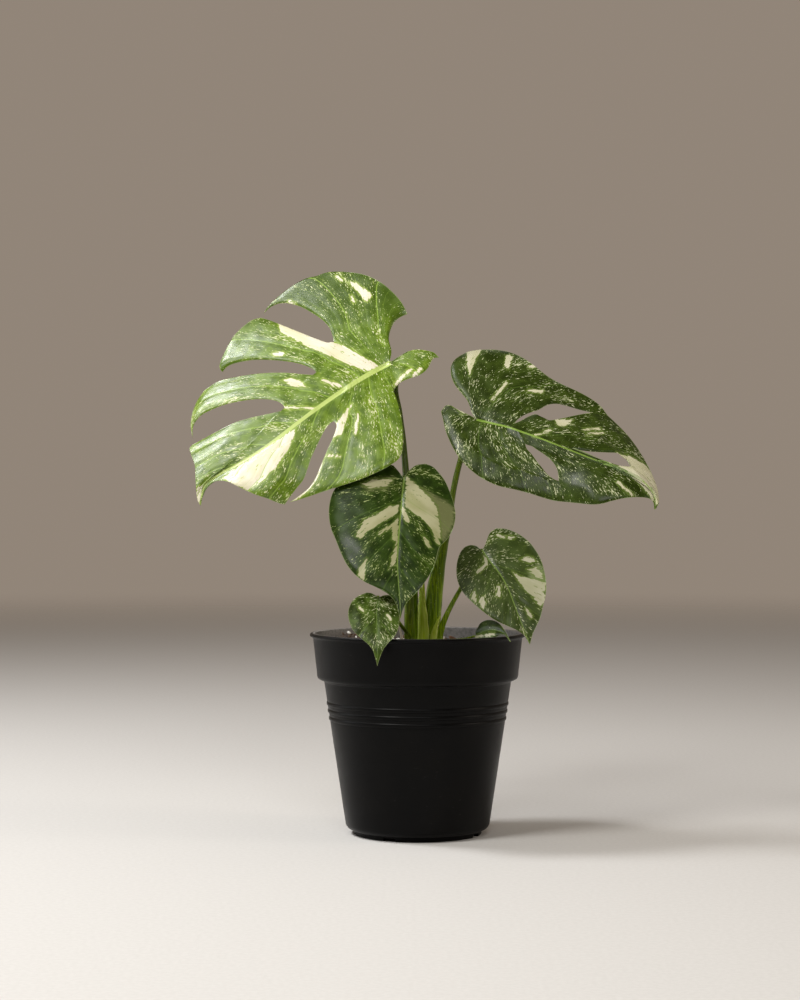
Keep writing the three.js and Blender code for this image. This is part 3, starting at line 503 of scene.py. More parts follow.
# A stalk's stops are the front-view point, the depth and the radius.
STALKS = [
    {
        "name": "petiole_a",
        "route": [
            (-3, 150, 5, 5), (-3.5, 165, 6, 4.9), (-4, 190, 8, 4.2), (-5.5, 225, 11, 3.4),
            (-8.3, 270, 17, 2.8), (-11, 305, 26, 2.5), (-14.3, 331, 36, 2.4), (-17.8, 350, 43, 2.6),
        ],
        "knee": {"blade": "leaf_a", "length": 9, "radius": 2.6},
    },
    {
        "name": "petiole_b",
        "route": [
            (13, 150, 1, 4.8), (13.5, 165, 1.5, 4.7), (15.5, 190, 3, 4.5), (18.5, 215, 5, 3.9),
            (23.5, 240, 8, 2.8), (28.7, 272.5, 11, 2.4), (34.5, 296, 12, 2.3), (41.5, 312.5, 7, 2.4),
        ],
        "wing": [
            (8.6, 150, 0, 2.6), (8.9, 163, 0.2, 2.9), (9.6, 178, 1, 3.4), (10.8, 192, 2, 3.6),
            (13.4, 205, 3.4, 3), (16, 214, 4.6, 2), (18.6, 222, 5.6, 0.8),
        ],
        "knee": {"blade": "leaf_b", "length": 6, "radius": 2.3},
    },
    {
        "name": "petiole_c",
        "route": [
            (-6.4, 150, -7, 4), (-6.6, 165, -7.6, 4), (-6.8, 182, -9, 3.5), (-7, 205, -10.5, 2.6),
            (-8, 235, -11, 2.2), (-9.5, 262, -8.5, 2.1), (-10.2, 271, -7, 2.1),
        ],
        "knee": {"blade": "leaf_c", "length": 3, "radius": 1.9},
    },
    {
        "name": "petiole_d",
        "route": [
            (-2, 150, -13, 1.6), (-7, 156, -17.5, 1.5), (-12.5, 163, -26.5, 1.4),
            (-19.5, 172, -39.5, 1.3), (-27, 180.3, -51, 1.3),
        ],
        "knee": {"blade": "leaf_d", "length": 2.5, "radius": 1.2},
    },
    {
        "name": "petiole_e",
        "route": [
            (16, 150, -7.8, 2.7), (18.5, 160, -8.5, 2.6), (22.5, 171, -9, 2.1), (28, 182, -7.5, 1.8),
            (34.5, 193.5, -6, 1.7), (42.5, 208, -5, 1.7), (47.5, 215.5, -6, 1.6),
        ],
        "knee": {"blade": "leaf_e", "length": 2.5, "radius": 1.5},
    },
    {
        "name": "petiole_f",
        "route": [
            (8.8, 150, -12.5, 1.2), (12, 151.4, -15.8, 1.2), (24, 151.8, -20, 1.1), (35, 152.6, -23, 1),
            (45.5, 155.2, -23.6, 0.8),
        ],
    },
]

# The young rolled leaf in the middle of the clump, pointed at its top.
SPEAR = [
    (4.8, 150, -1.6, 2.9), (4.6, 165, -1.9, 2.8), (4.2, 180, -2, 2.4), (4.5, 192, -2, 1.3),
    (5, 199, -2, 0.35),
]

# Wings round the feet of stalks: a stop's last number is half the turn that the wing covers there.
SHEATHS = [
    {
        "name": "sheath_b",
        "foot": SHEATH_FOOT,
        "facing": 238,
        "thickness": 0.9,
        "route": [
            (5, 150, -2, 5, 85), (4.9, 163, -2.1, 4.9, 80), (4.7, 176, -2.3, 4.4, 66),
            (4.4, 188, -2.4, 3.5, 40), (3.6, 196, -2.6, 2.9, 12),
        ],
    },
    {
        "name": "dry_sheath",
        "foot": SOIL_LEVEL - 2,
        "facing": 196,
        "thickness": 0.7,
        "route": [
            (-7, 148, -9, 5.2, 42), (-8.5, 156, -9.6, 5.2, 38), (-10.2, 163, -10.4, 4.8, 28),
            (-11, 169, -11.4, 3.8, 14), (-11, 174, -12.4, 3, 6),
        ],
    },
    {
        "name": "sheath_e",
        "foot": SHEATH_FOOT,
        "facing": 198,
        "thickness": 0.8,
        "route": [
            (14, 150, -8.2, 5.2, 78), (15, 155, -9, 5, 74), (17, 161.5, -9.4, 4.5, 58),
            (19.4, 167, -9.6, 3.8, 26), (20.8, 170, -9.6, 3.4, 8),
        ],
    },
]

# Noise drawn out along the veins: scale, and reach in millimetres.
FINE_STREAKS = (1350, 2.2)
BROAD_STREAKS = (620, 5.0)
SECTOR_STREAKS = (95, 20.0)
STREAK_TAPS = 5
STREAK_GAIN = 14.0

# Colours and shares of the blades: what most of them have, and what each has of its own, with painted
# light and shade among them.
LEAF = {
    "dark": (0.017, 0.03, 0.001),
    "green": (0.032, 0.054, 0.003),
    "fresh": (0.056, 0.092, 0.005),
    "pale": (0.14, 0.2, 0.035),
    "fleck": (0.5, 0.51, 0.33),
    "wash": (0.2, 0.24, 0.11),
    "cream": (0.48, 0.47, 0.29),
    "ivory": (0.56, 0.54, 0.38),
    "vein": (0.13, 0.22, 0.035),
    "rib_pale": (0.4, 0.46, 0.2),
    "under": (0.2, 0.3, 0.12),
    "sectors": 0.35,
    "small_after": 1.2,
    "large_after": 1.7,
    "inner_green": 1.3,
    "vein_share": 0.3,
    "rough": 0.32,
    "shine": 0.22,
}
LOOKS = {
    "leaf_a": {
        # Leaf A's colours are lighter than the others': partly a younger, yellower leaf, partly painted
        # light for the strong light that falls on it.
        "dark": (0.07, 0.13, 0.002),
        "green": (0.125, 0.21, 0.004),
        "fresh": (0.2, 0.3, 0.01),
        "pale": (0.32, 0.43, 0.06),
        "fleck": (0.68, 0.69, 0.44),
        "cream": (0.72, 0.68, 0.46),
        "ivory": (0.78, 0.73, 0.58),
        "vein": (0.3, 0.46, 0.06),
        "rib": (0.45, 0.56, 0.15),
        "small_after": 1.25,
        "large_after": 1.75,
        "midrib": 1.9,
        "vein_share": 0.6,
        "rough": 0.35,
        "shine": 0.5,
        # Painted shade: above these heights the ground turns to this darker green, for the shaded top
        # lobe.
        "painted_shade": (0.035, 0.07, 0.001),
        "painted_shade_above": (0.385, 0.435),
    },
    "leaf_b": {"midrib": 0.75, "rib": (0.2, 0.31, 0.05)},
    "leaf_c": {
        # Leaf C's darker, duller colours are painted shade, for the shadow that leaf A casts on it.
        "dark": (0.01, 0.022, 0.001),
        "green": (0.02, 0.042, 0.002),
        "pale": (0.09, 0.14, 0.02),
        "fleck": (0.36, 0.4, 0.18),
        "wash": (0.14, 0.15, 0.06),
        "cream": (0.27, 0.27, 0.13),
        "ivory": (0.35, 0.34, 0.2),
        "midrib": 0.6,
        "rib": (0.14, 0.21, 0.04),
        "vein_share": 0.2,
        "shine": 0.16,
        "small_after": 1.4,
        "large_after": 1.85,
    },
    "leaf_d": {"green": (0.06, 0.1, 0.012), "midrib": 0.3, "rib": (0.1, 0.16, 0.03)},
    "leaf_e": {
        # Leaf E's lighter dark and green are painted light, for the light that falls on it from the
        # front.
        "dark": (0.034, 0.052, 0.01),
        "green": (0.05, 0.076, 0.015),
        "cream": (0.38, 0.38, 0.24),
        "ivory": (0.46, 0.45, 0.32),
        "small_after": 1.15,
        "midrib": 0.5,
        "rib": (0.16, 0.24, 0.05),
        "vein_share": 0.2,
    },
    "leaf_f": {
        "green": (0.05, 0.09, 0.012),
        "small_after": 1.6,
        "large_after": 2.2,
        "midrib": 0.3,
        "rib": (0.1, 0.16, 0.03),
    },
}

# Colours of the other pieces, most of them from dark to light.
STALK_GREEN = ((0.09, 0.16, 0.001), (0.26, 0.38, 0.004))
STALK_SPECK = (0.42, 0.5, 0.2)
STALK_FOOT_GREEN = (0.42, 0.48, 0.06)
STALK_OLIVE = (0.035, 0.05, 0.006)
OLIVE_HEIGHTS = (0.19, 0.28)
# The young leaf's and the sheaths' pale greens are partly their own colour and partly painted light,
# brightened for the light that catches them.
SPEAR_GREEN_AND_PAINTED_LIGHT = ((0.4, 0.54, 0.008), (0.62, 0.7, 0.05))
SHEATH_GREEN_AND_PAINTED_LIGHT = ((0.4, 0.54, 0.01), (0.72, 0.78, 0.2))
DRY_BROWN = ((0.36, 0.3, 0.21), (0.55, 0.49, 0.39))
POT_BLACK = ((0.0012, 0.0012, 0.0013), (0.0026, 0.0024, 0.0022))
SCUFF_GREY = (0.09, 0.085, 0.08)
DUST_GREY = (0.3, 0.285, 0.28)
SOIL_BROWN = ((0.02, 0.012, 0.008), (0.06, 0.036, 0.022))
SOIL_FLECK = (0.11, 0.07, 0.045)
BARK_BROWN = ((0.06, 0.028, 0.014), (0.19, 0.09, 0.045))
PERLITE_WHITE = ((0.62, 0.6, 0.56), (0.84, 0.82, 0.78))
CRUMB_BROWN = ((0.03, 0.018, 0.01), (0.1, 0.06, 0.035))
FLOOR_GREY = ((0.6, 0.59, 0.575), (0.63, 0.62, 0.605))

# The studio, in metres and watts: the floor fades out between two radii, the world's light from the
# front to the back, and each lamp has a place, an aim, a size, a power and a colour.
FLOOR_RADIUS = 5
FLOOR_FADE = (2.2, 4.6)
WORLD_COLOR = (0.285, 0.235, 0.19, 1)
WORLD_FADE = {"From Min": -0.95, "From Max": 0.2, "To Min": 0.3, "To Max": 1.0}
WARM = (1, 0.985, 0.95)
LAMPS = {
    "key": [(-0.85, -0.85, 1.4), (-0.05, 0, 0.28), (0.5, 0.6), 18, WARM],
    "front": [(0.1, -1.5, 1.15), (-0.05, 0, 0.28), (0.5, 0.5), 6, WARM],
    "top": [(-1.09, 0.2, 1.66), (-0.1, 0, 0.35), (0.4, 0.4), 21, (1, 1, 1)],
    "side": [(-1.75, 0.4, 0.6), (0, 0, 0.1), (0.5, 0.7), 5, (0.9, 0.95, 1)],
    "fill": [(1.9, -0.45, 0.7), (0, 0, 0.15), (0.4, 0.9), 9, (1, 0.9, 0.78)],
}


# Smooth lines and places


def catmull_rom(points):
    """Points along the smooth curve through the given ones."""
    points = np.array(points, float)
    count = len(points) - 1
    padded = np.vstack([points[:1], points, points[-1:]])
    p0, p1, p2, p3 = (padded[i : i + count, None] for i in range(4))
    t = (np.arange(STRETCH_POINTS) / STRETCH_POINTS)[None, :, None]
    v1 = (p2 - p0) / 2
    v2 = (p3 - p1) / 2
    cubic = (2 * p1 - 2 * p2 + v1 + v2) * t**3
    square = (3 * p2 - 3 * p1 - 2 * v1 - v2) * t**2
    curve = cubic + square + v1 * t + p1
    return np.vstack([curve.reshape(-1, points.shape[1]), points[-1:]])


class Line:
    """A smooth line through points, followed by its length from 0 to 1."""

    def __init__(self, points):
        self.dense = catmull_rom(points)
        steps = np.linalg.norm(np.diff(self.dense, axis=0), axis=1)
        self.lengths = np.concatenate([[0], np.cumsum(steps)])
        self.length = self.lengths[-1]

    def at(self, places):
        where = np.asarray(places, float) * self.length
        axes = range(self.dense.shape[1])
        return np.stack([np.interp(where, self.lengths, self.dense[:, i]) for i in axes], axis=-1)


def seen(flat, y):
    """The places of front-view points at their depths."""
    scale = (y - EYE[1]) / -EYE[1]
    x = EYE[0] + (flat[..., 0] - EYE[0]) * scale
    z = EYE[2] + (flat[..., 1] - EYE[2]) * scale
    return np.stack([x, y, z], axis=-1)


def mix(a, b, t):
    return a + (b - a) * t


def smooth_step(low, high, value):
    t = np.clip((value - low) / (high - low), 0, 1)
    return t * t * (3 - 2 * t)


def bell(away, width):
    return np.exp(-((away / width) ** 2))


def unit(vectors):
    return vectors / np.maximum(np.linalg.norm(vectors, axis=-1, keepdims=True), 1e-9)


def round_turns(count):
    return np.arange(count) * 2 * math.pi / count


def waves(seed, wavelength):
    """A soft uneven field: a sum of waves in random directions."""
    rng = np.random.default_rng(seed)
    direction = unit(rng.normal(size=(WAVES, 3)))
    pitch = 2 * math.pi / (wavelength * rng.uniform(0.7, 1.4, WAVES))
    phase = rng.uniform(0, 2 * math.pi, WAVES)
    return lambda p: np.sin((p @ direction.T) * pitch + phase).sum(axis=1) / math.sqrt(WAVES)


PUCKER = waves(5, 11)
LUMPS = waves(11, 17)
CRUMBS = waves(12, 6)
GRAINS = waves(13, 2.6)


# Blade faces


def row_breaks(cut, root, rows):
    """The last row of a side line's stem, and the last of its edge."""
    if not cut.base:
        return rows, rows
    start = cut.stem[-1]
    stem = Line([root, *cut.stem]).length
    edge = (Line([start, *cut.base]).length + Line([start, *cut.tip]).length) / 2
    join = Line([cut.tip[-1], *cut.join]).length if cut.join else 0
    per_row = (stem + edge + join) / rows
    join_rows = max(1, round(join / per_row)) if join else 0
    return max(1, round(stem / per_row)), rows - join_rows


def side_line(cut, side, root, rows):
    """The points of a cut with one of its sides, a row at a time, from the midrib to the margin."""
    first, second = row_breaks(cut, root, rows)
    parts = [Line([root, *cut.stem]).at(np.arange(first + 1) / first)]
    if side:
        edge = Line([cut.stem[-1], *side])
        parts.append(edge.at(np.arange(1, second - first + 1) / (second - first)))
    if cut.join:
        join = Line([side[-1], *cut.join])
        parts.append(join.at(np.arange(1, rows - second + 1) / (rows - second)))
    return np.vstack(parts)


def lobe_patch(near, far, base, top, across, out):
    """The patch between two side lines, the midrib and the margin: columns by rows."""
    across = across[:, None, None]
    out = out[None, :, None]
    sides = mix(near[None], far[None], across)
    ends = mix(base[:, None], top[:, None], out)
    roots = mix(near[0], far[0], across)
    outer = mix(near[-1], far[-1], across)
    flat = sides + ends - mix(roots, outer, out)
    flat[0] = near
    flat[-1] = far
    return flat


def blade_depth(form, joint, flat, base, along, across, out, column):
    """A tilted plane with an arched midrib, sagging halves, crowned lobes and a waved margin."""
    reach = np.linalg.norm(flat - base, axis=-1) / form["span"]
    y = form["joint"] + form["across_x"] * (flat[..., 0] - joint[0])
    y += form["up_z"] * (flat[..., 1] - joint[1])
    y -= form["arch"] * 4 * along * (1 - along)
    y += form["sag"] * reach**2 - form["lift"] * reach
    y += form["crown"] * (2 * across - 1) ** 2 * out**2
    return y + form["wave"] * np.sin(column * WAVE_PER_COLUMN) * out**3


def on_right(midrib, lobes):
    """Whether a half's lobes lie on the right of its midrib, looking on towards the tip."""
    out = Line(lobes[len(lobes) // 2].margin).at(0.5) - midrib.at(0.5)
    ahead = midrib.at(0.51) - midrib.at(0.49)
    return ahead[0] * out[1] - ahead[1] * out[0] < 0


class Face:
    """The upper face of a blade: a grid for each lobe, with what the relief and colours need."""

    def __init__(self, blade):
        self.blade = blade
        self.midrib = Line(blade["midrib"])
        self.stations = blade["stations"] * DETAIL
        self.rows = blade["rows"] * DETAIL
        self.grids = []
        self.quads = []
        self.count = 0
        self.side = 0
        for half in blade["halves"]:
            self.add_half(half)
        self.gather()
        self.weld()

    def add_half(self, half):
        lobes = half.parts[::2]
        flipped = on_right(self.midrib, lobes)
        tip = self.midrib.at(1)
        out = np.linspace(0, 1, self.rows + 1)
        near = Line([self.midrib.at(0), *half.sinus]).at(out)
        station = 0
        travelled = 0
        for lobe, cut in zip(lobes, [*half.parts[1::2], None]):
            after = cut.station * DETAIL if cut else self.stations
            root = self.midrib.at(after / self.stations)
            far = side_line(cut, cut.base, root, self.rows) if cut else np.tile(tip, (len(out), 1))
            across = np.linspace(0, 1, lobe.columns * DETAIL + 1)
            place = station + across * (after - station)
            along = place / self.stations
            base = self.midrib.at(along)
            margin = Line([near[-1], *lobe.margin, far[-1]])
            flat = lobe_patch(near, far, base, margin.at(across), across, out)
            snapped = np.round(place) / self.stations
            flat[:, 0] = self.midrib.at(snapped)
            self.add_grid(flat, base, along, snapped, across, out, travelled, lobe, flipped)
            travelled += lobe.columns
            station = after
            near = side_line(cut, cut.tip, root, self.rows) if cut else None
        self.side += 1

    def add_grid(self, flat, base, along, snapped, across, out, travelled, lobe, flipped):
        shape = flat.shape[:2]
        along = np.repeat(along[:, None], shape[1], axis=1)
        along[:, 0] = snapped
        base = np.repeat(base[:, None], shape[1], axis=1)
        base[:, 0] = flat[:, 0]
        across = np.repeat(across[:, None], shape[1], axis=1)
        out = np.repeat(out[None], shape[0], axis=0)
        joint = self.midrib.at(0)
        column = travelled + across * lobe.columns
        y = blade_depth(self.blade["depth"], joint, flat, base, along, across, out, column)
        place = seen(flat, y)

        # Veins leave the midrib evenly and sweep towards the tip as they go out.
        power = 1 + lobe.sweep * out
        vein = travelled + across**power * lobe.columns
        inner = np.clip(across, 1e-4, 1)
        drift = -lobe.columns * inner * np.log(inner) * lobe.sweep / power
        outward = np.gradient(place, axis=1) * self.rows
        onward = np.gradient(place, axis=0) * DETAIL
        grain = unit(outward + onward * drift[..., None])
        beside = onward - grain * (onward * grain).sum(axis=2, keepdims=True)
        per_vein = np.maximum(power * inner ** (power - 1), 0.05)
        spread = np.linalg.norm(beside, axis=2) / per_vein
        self.grids.append(
            {
                "flat": flat,
                "place": place,
                "along": along,
                "column": vein,
                "grain": grain,
                "spread": spread,
                "half": np.full(shape, self.side),
            }
        )
        ids = self.count + np.arange(shape[0] * shape[1]).reshape(shape)
        a, b, c, d = ids[:-1, :-1], ids[1:, :-1], ids[1:, 1:], ids[:-1, 1:]
        corners = [a, d, c, b] if flipped else [a, b, c, d]
        self.quads.append(np.stack([corner.ravel() for corner in corners], axis=1))
        self.count += ids.size

    def gather(self):
        for key in self.grids[0]:
            values = [grid[key] for grid in self.grids]
            tail = values[0].shape[2:]
            setattr(self, key, np.concatenate([value.reshape(-1, *tail) for value in values]))
        self.quads = np.concatenate(self.quads)

    def weld(self):
        """Joins grid points that share a place, and drops the faces that close up."""
        keys = np.round(self.flat * 1000).astype(np.int64)
        _, first, welded = np.unique(keys, axis=0, return_index=True, return_inverse=True)
        self.first = first
        self.welded = welded.ravel()
        faces = []
        for quad in self.quads:
            kept = []
            for corner in quad:
                vertex = self.welded[corner]
                if all(self.welded[other] != vertex for other in kept):
                    kept.append(corner)
            if len(kept) > 2:
                faces.append(kept)
        self.faces = faces
        self.points = seen(self.flat[first], self.smoothed_depth())

    def smoothed_depth(self):
        """The depths with the creases between the lobes' patches eased."""
        depth = self.place[self.first][:, 1].copy()
        ids = self.welded[self.quads]
        a = ids.ravel()
        b = np.roll(ids, -1, axis=1).ravel()
        used = a != b
        a, b = a[used], b[used]
        ends = np.concatenate([a, b])
        others = np.concatenate([b, a])
        count = np.bincount(ends, minlength=len(depth))
        for _ in range(SMOOTHING_ROUNDS):
            total = np.bincount(ends, weights=depth[others], minlength=len(depth))
            depth += SMOOTHING_SHARE * (total / count - depth)
        return depth

    def face_normals(self, points):
        """Unit normals at the welded points, from the faces round each."""
        corners = np.array([[f[0], f[1], f[2], f[-1]] for f in self.faces])
        p = points[self.welded[corners]]
        normal = np.cross(p[:, 2] - p[:, 0], p[:, 3] - p[:, 1])
        thin = corners[:, 2] == corners[:, 3]
        normal[thin] = np.cross(p[thin, 1] - p[thin, 0], p[thin, 2] - p[thin, 0])
        total = np.zeros_like(points)
        for i in range(4):
            np.add.at(total, self.welded[corners[:, i]], normal)
        return unit(total)

    def rim(self):
        """The directed edges with no face on their other side."""
        edges = set()
        for face in self.faces:
            ids = [int(self.welded[corner]) for corner in face]
            edges.update(zip(ids, ids[1:] + ids[:1]))
        return [(a, b) for a, b in edges if (b, a) not in edges]


# Blade solids


def segment_distances(points, line):
    """Each point's distance to a line of straight stretches."""
    best = np.full(len(points), np.inf)
    for a, b in zip(line[:-1], line[1:]):
        run = b - a
        t = np.clip(((points - a) @ run) / max(run @ run, 1e-9), 0, 1)
        best = np.minimum(best, np.linalg.norm(points - a - t[:, None] * run, axis=1))
    return best


def inside_outline(points, outline):
    """Whether each point lies inside a closed outline."""
    inside = np.zeros(len(points), bool)
    for a, b in zip(outline, np.roll(outline, -1, axis=0)):
        crosses = (a[1] > points[:, 1]) != (b[1] > points[:, 1])
        run = b[1] - a[1] if b[1] != a[1] else 1e-9
        x = a[0] + (points[:, 1] - a[1]) * (b[0] - a[0]) / run
        inside ^= crosses & (points[:, 0] < x)
    return inside


def splash_distance(flat, patches, streaks):
    """How far inside the cream patches and streaks each front-view point lies, in millimetres."""
    best = np.full(len(flat), -FAR_OUTSIDE)
    for patch in patches:
        outline = np.array(patch, float)
        away = segment_distances(flat, np.vstack([outline, outline[:1]]))
        best = np.maximum(best, np.where(inside_outline(flat, outline), away, -away))
    for width, *line in streaks:
        away = segment_distances(flat, np.array(line, float))
        best = np.maximum(best, width / 2 - away)
    return best


def main_veins(half):
    """The places, in columns, of a half's main lateral veins."""
    if half.veins:
        return np.array(half.veins, float)
    places = []
    travelled = 0
    for lobe in half.parts[::2]:
        count = max(1, round(lobe.columns / COLUMNS_PER_VEIN))
        places += [travelled + lobe.columns * (i + 0.5) / count for i in range(count)]
        travelled += lobe.columns
    return np.array(places)


def rim_distance(points, rim):
    """Each point's distance to the blade's rim."""
    ids = sorted({a for a, _ in rim})
    tree = kdtree.KDTree(len(ids))
    for i in ids:
        tree.insert(points[i], i)
    tree.balance()
    return np.array([tree.find(point)[2] for point in points])


def vein_offset(column, half, veins):
    """The signed way in columns from the nearest main vein."""
    offset = np.zeros_like(column)
    for side, places in enumerate(veins):
        here = half == side
        apart = column[here, None] - places[None]
        nearest = np.abs(apart).argmin(axis=1)
        offset[here] = apart[np.arange(len(nearest)), nearest]
    return offset


def blade_solid(blade):
    """The blade's closed mesh, with the values that its relief and its material are made from."""
    face = Face(blade)
    veins = [main_veins(half) for half in blade["halves"]]
    place = face.points
    first = face.first
    column = face.column[first]
    far = segment_distances(face.flat[first], face.midrib.dense[::6])
    spread = face.spread[first]
    rim = face.rim()
    edge = rim_distance(place, rim)
    normal = face.face_normals(place)
    to_main = vein_offset(column, face.half[first], veins) * spread
    to_fine = (column - np.round(column)) * spread

    # The relief of the veins dies away beside the midrib and where they crowd together.
    clear = smooth_step(1, 6, far) * smooth_step(1, 4, spread)
    calm = smooth_step(0, CALM_MARGIN, edge)
    along = face.along[first]
    fade = 1 - FADE_TO_TIP * along
    midrib = bell(far, MIDRIB_WIDTH) * fade
    shoulder = bell(far - SHOULDER_PLACE, SHOULDER_WIDTH) * fade
    valley = bell(to_main, VALLEY_WIDTH) * clear
    crease = bell(to_fine, CREASE_WIDTH) * clear
    relief = -MIDRIB_DIP * midrib + SHOULDER_RISE * shoulder
    relief = relief - VALLEY_DEPTH * valley - CREASE_DEPTH * crease
    relief += PUCKER_HEIGHT * PUCKER(place) * calm * clear
    rim_round = 1 - smooth_step(0, RIM_WIDTH, edge)
    top = place + normal * relief[:, None]
    top -= normal * (RIM_DROP * rim_round)[:, None]
    keel = blade["keel"] * np.maximum(1 - along, 0) ** KEEL_TAPER
    keel = keel * bell(far, KEEL_WIDTH)
    under = BLADE_THICKNESS * (1 - 0.6 * rim_round) + keel + 0.5 * valley * calm
    bottom = place - normal * under[:, None]
    return {
        "face": face,
        "top": top,
        "bottom": bottom,
        "rim": rim,
        "edge": edge,
        "far": far,
        "veins": veins,
    }


def corner_values(solid, corners, sizes):
    """Each corner's ways to the nearest main and fine vein, and out from the midrib."""
    face = solid["face"]
    column = face.column[corners]
    spread = face.spread[corners]
    starts = np.concatenate([[0], np.cumsum(sizes)[:-1]])
    middle = np.repeat(np.add.reduceat(column, starts) / sizes, sizes)
    half = np.repeat(face.half[corners[starts]], sizes)
    to_main = column - (middle - vein_offset(middle, half, solid["veins"]))
    to_fine = column - np.round(middle)
    return np.stack([to_main * spread, to_fine * spread, solid["far"][face.welded[corners]]], axis=1)


def blade_mesh(blade):
    """A blade's closed mesh, with the values that its material reads, and its solid."""
    solid = blade_solid(blade)
    face = solid["face"]
    count = len(face.points)
    first = face.first
    faces = []
    corners = []
    for ids in face.faces:
        faces.append([int(face.welded[i]) for i in ids])
        corners.append(ids)
    for ids in face.faces:
        turned = ids[::-1]
        faces.append([count + int(face.welded[i]) for i in turned])
        corners.append(turned)
    for a, b in solid["rim"]:
        faces.append([b, a, count + a, count + b])
        corners.append([first[b], first[a], first[a], first[b]])
    sizes = np.array([len(ids) for ids in faces])
    corners = np.concatenate([np.asarray(ids) for ids in corners])
    mesh = new_mesh(np.vstack([solid["top"], solid["bottom"]]) * MM, faces)
    flat = face.flat[first]
    name = blade["name"]
    values = {
        "splash": splash_distance(flat, PATCHES.get(name, []), STREAKS.get(name, [])),
        "wash": splash_distance(flat, WASHES.get(name, []), []),
        "edge": solid["edge"],
        "along": face.along[first],
        "room": face.spread[first],
    }
    for key, value in values.items():
        point_values(mesh, key, np.tile(value, 2))
    point_values(mesh, "under", np.repeat([0, 1], count))
    corner_vectors(mesh, "vein", corner_values(solid, corners, sizes))
    corner_vectors(mesh, "grain", face.grain[corners])
    return mesh, solid


# Meshes and pieces


def new_mesh(points, faces):
    mesh = bpy.data.meshes.new("piece")
    mesh.from_pydata(np.asarray(points).tolist(), [], faces)
    mesh.validate()
    mesh.shade_smooth()
    mesh.set_sharp_from_angle(angle=math.radians(SHARP_ANGLE))
    return mesh


def point_values(mesh, name, values):
    layer = mesh.attributes.new(name, "FLOAT", "POINT")
    layer.data.foreach_set("value", np.asarray(values, np.float32))


def corner_vectors(mesh, name, values):
    layer = mesh.attributes.new(name, "FLOAT_VECTOR", "CORNER")
    layer.data.foreach_set("vector", np.asarray(values, np.float32).ravel())


def placed(name, data):
    """A new object in the scene."""
    thing = bpy.data.objects.new(name, data)
    bpy.context.scene.collection.objects.link(thing)
    return thing


def piece(name, mesh, material, slot, *nodes):
    """A finished piece of the plant, standing for the solids it replaces."""
    mesh.name = name
    mesh.materials.append(material)
    thing = placed(name, mesh)
    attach(thing, "root")
    if nodes:
        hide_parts(*nodes)


# Stalks and sheaths


def tube_frames(stops, step):
    """A stalk's length and evenly spaced stations: centres with sizes, and two cross directions."""
    line = Line(stops)
    count = max(4, round(line.length / step))
    rings = line.at(np.linspace(0, 1, count + 1))
    centre = rings[:, :3]
    ahead = unit(np.gradient(centre, axis=0))
    right = unit(np.array([1.0, 0, 0]) - ahead * ahead[:, :1])
    back = np.cross(ahead, right)
    return line.length, rings, right, back


def across_ways(right, back, turn):
    """The directions out from each station at each turn."""
    return right[:, None] * np.cos(turn)[..., None] + back[:, None] * np.sin(turn)[..., None]


def tube_mesh(stops, sides, step, shape=None):
    """A round stalk; shape(turn, along) gives its girth at each turn and place."""
    length, rings, right, back = tube_frames(stops, step)
    turn = round_turns(sides)[None]
    along = np.linspace(0, 1, len(rings))
    girth = np.ones((len(rings), sides))
    if shape:
        girth = shape(turn, along[:, None])
    points = rings[:, None, :3] + across_ways(right, back, turn) * (rings[:, 3:4] * girth)[..., None]
    mesh = grid_mesh(points, capped=True)
    point_values(mesh, "along", np.concatenate([np.repeat(along * length, sides), [0, length]]))
    return mesh


def grid_mesh(points, capped):
    """Rings of points joined into a skin, with a fan over each end where it is capped."""
    rings, sides = points.shape[:2]
    ids = np.arange(rings * sides).reshape(rings, sides)
    after = np.roll(ids, -1, axis=1)
    faces = np.stack([ids[:-1], after[:-1], after[1:], ids[1:]], axis=-1).reshape(-1, 4).tolist()
    skin = points.reshape(-1, 3)
    if capped:
        ends = np.stack([points[0].mean(axis=0), points[-1].mean(axis=0)])
        skin = np.vstack([skin, ends])
        foot, top = rings * sides, rings * sides + 1
        for i in range(sides):
            j = (i + 1) % sides
            faces.append([foot, int(ids[0, j]), int(ids[0, i])])
            faces.append([top, int(ids[-1, i]), int(ids[-1, j])])
    return new_mesh(skin * MM, faces)


def front_stops(route, foot):
    """A route's places in space, with its first at the foot's height."""
    route = np.array(route, float)
    places = seen(route[:, [0, 1]], route[:, 2])
    places[0, 2] = foot
    return np.hstack([places, route[:, 3:]])


def knee_stops(knee, solids):
    """The knee's ends: below its blade's joint, and in the blade's underside."""
    solid = solids[knee["blade"]]
    face = solid["face"]
    joint = int(np.argmin(np.linalg.norm(face.flat[face.first] - face.midrib.at(0), axis=1)))
    root = solid["bottom"][joint]
    out = root - solid["top"][joint]
    out /= np.linalg.norm(out)
    ends = [root + out * knee["length"], root - out * KNEE_SUNK]
    return np.hstack([ends, np.full((2, 1), knee["radius"])])


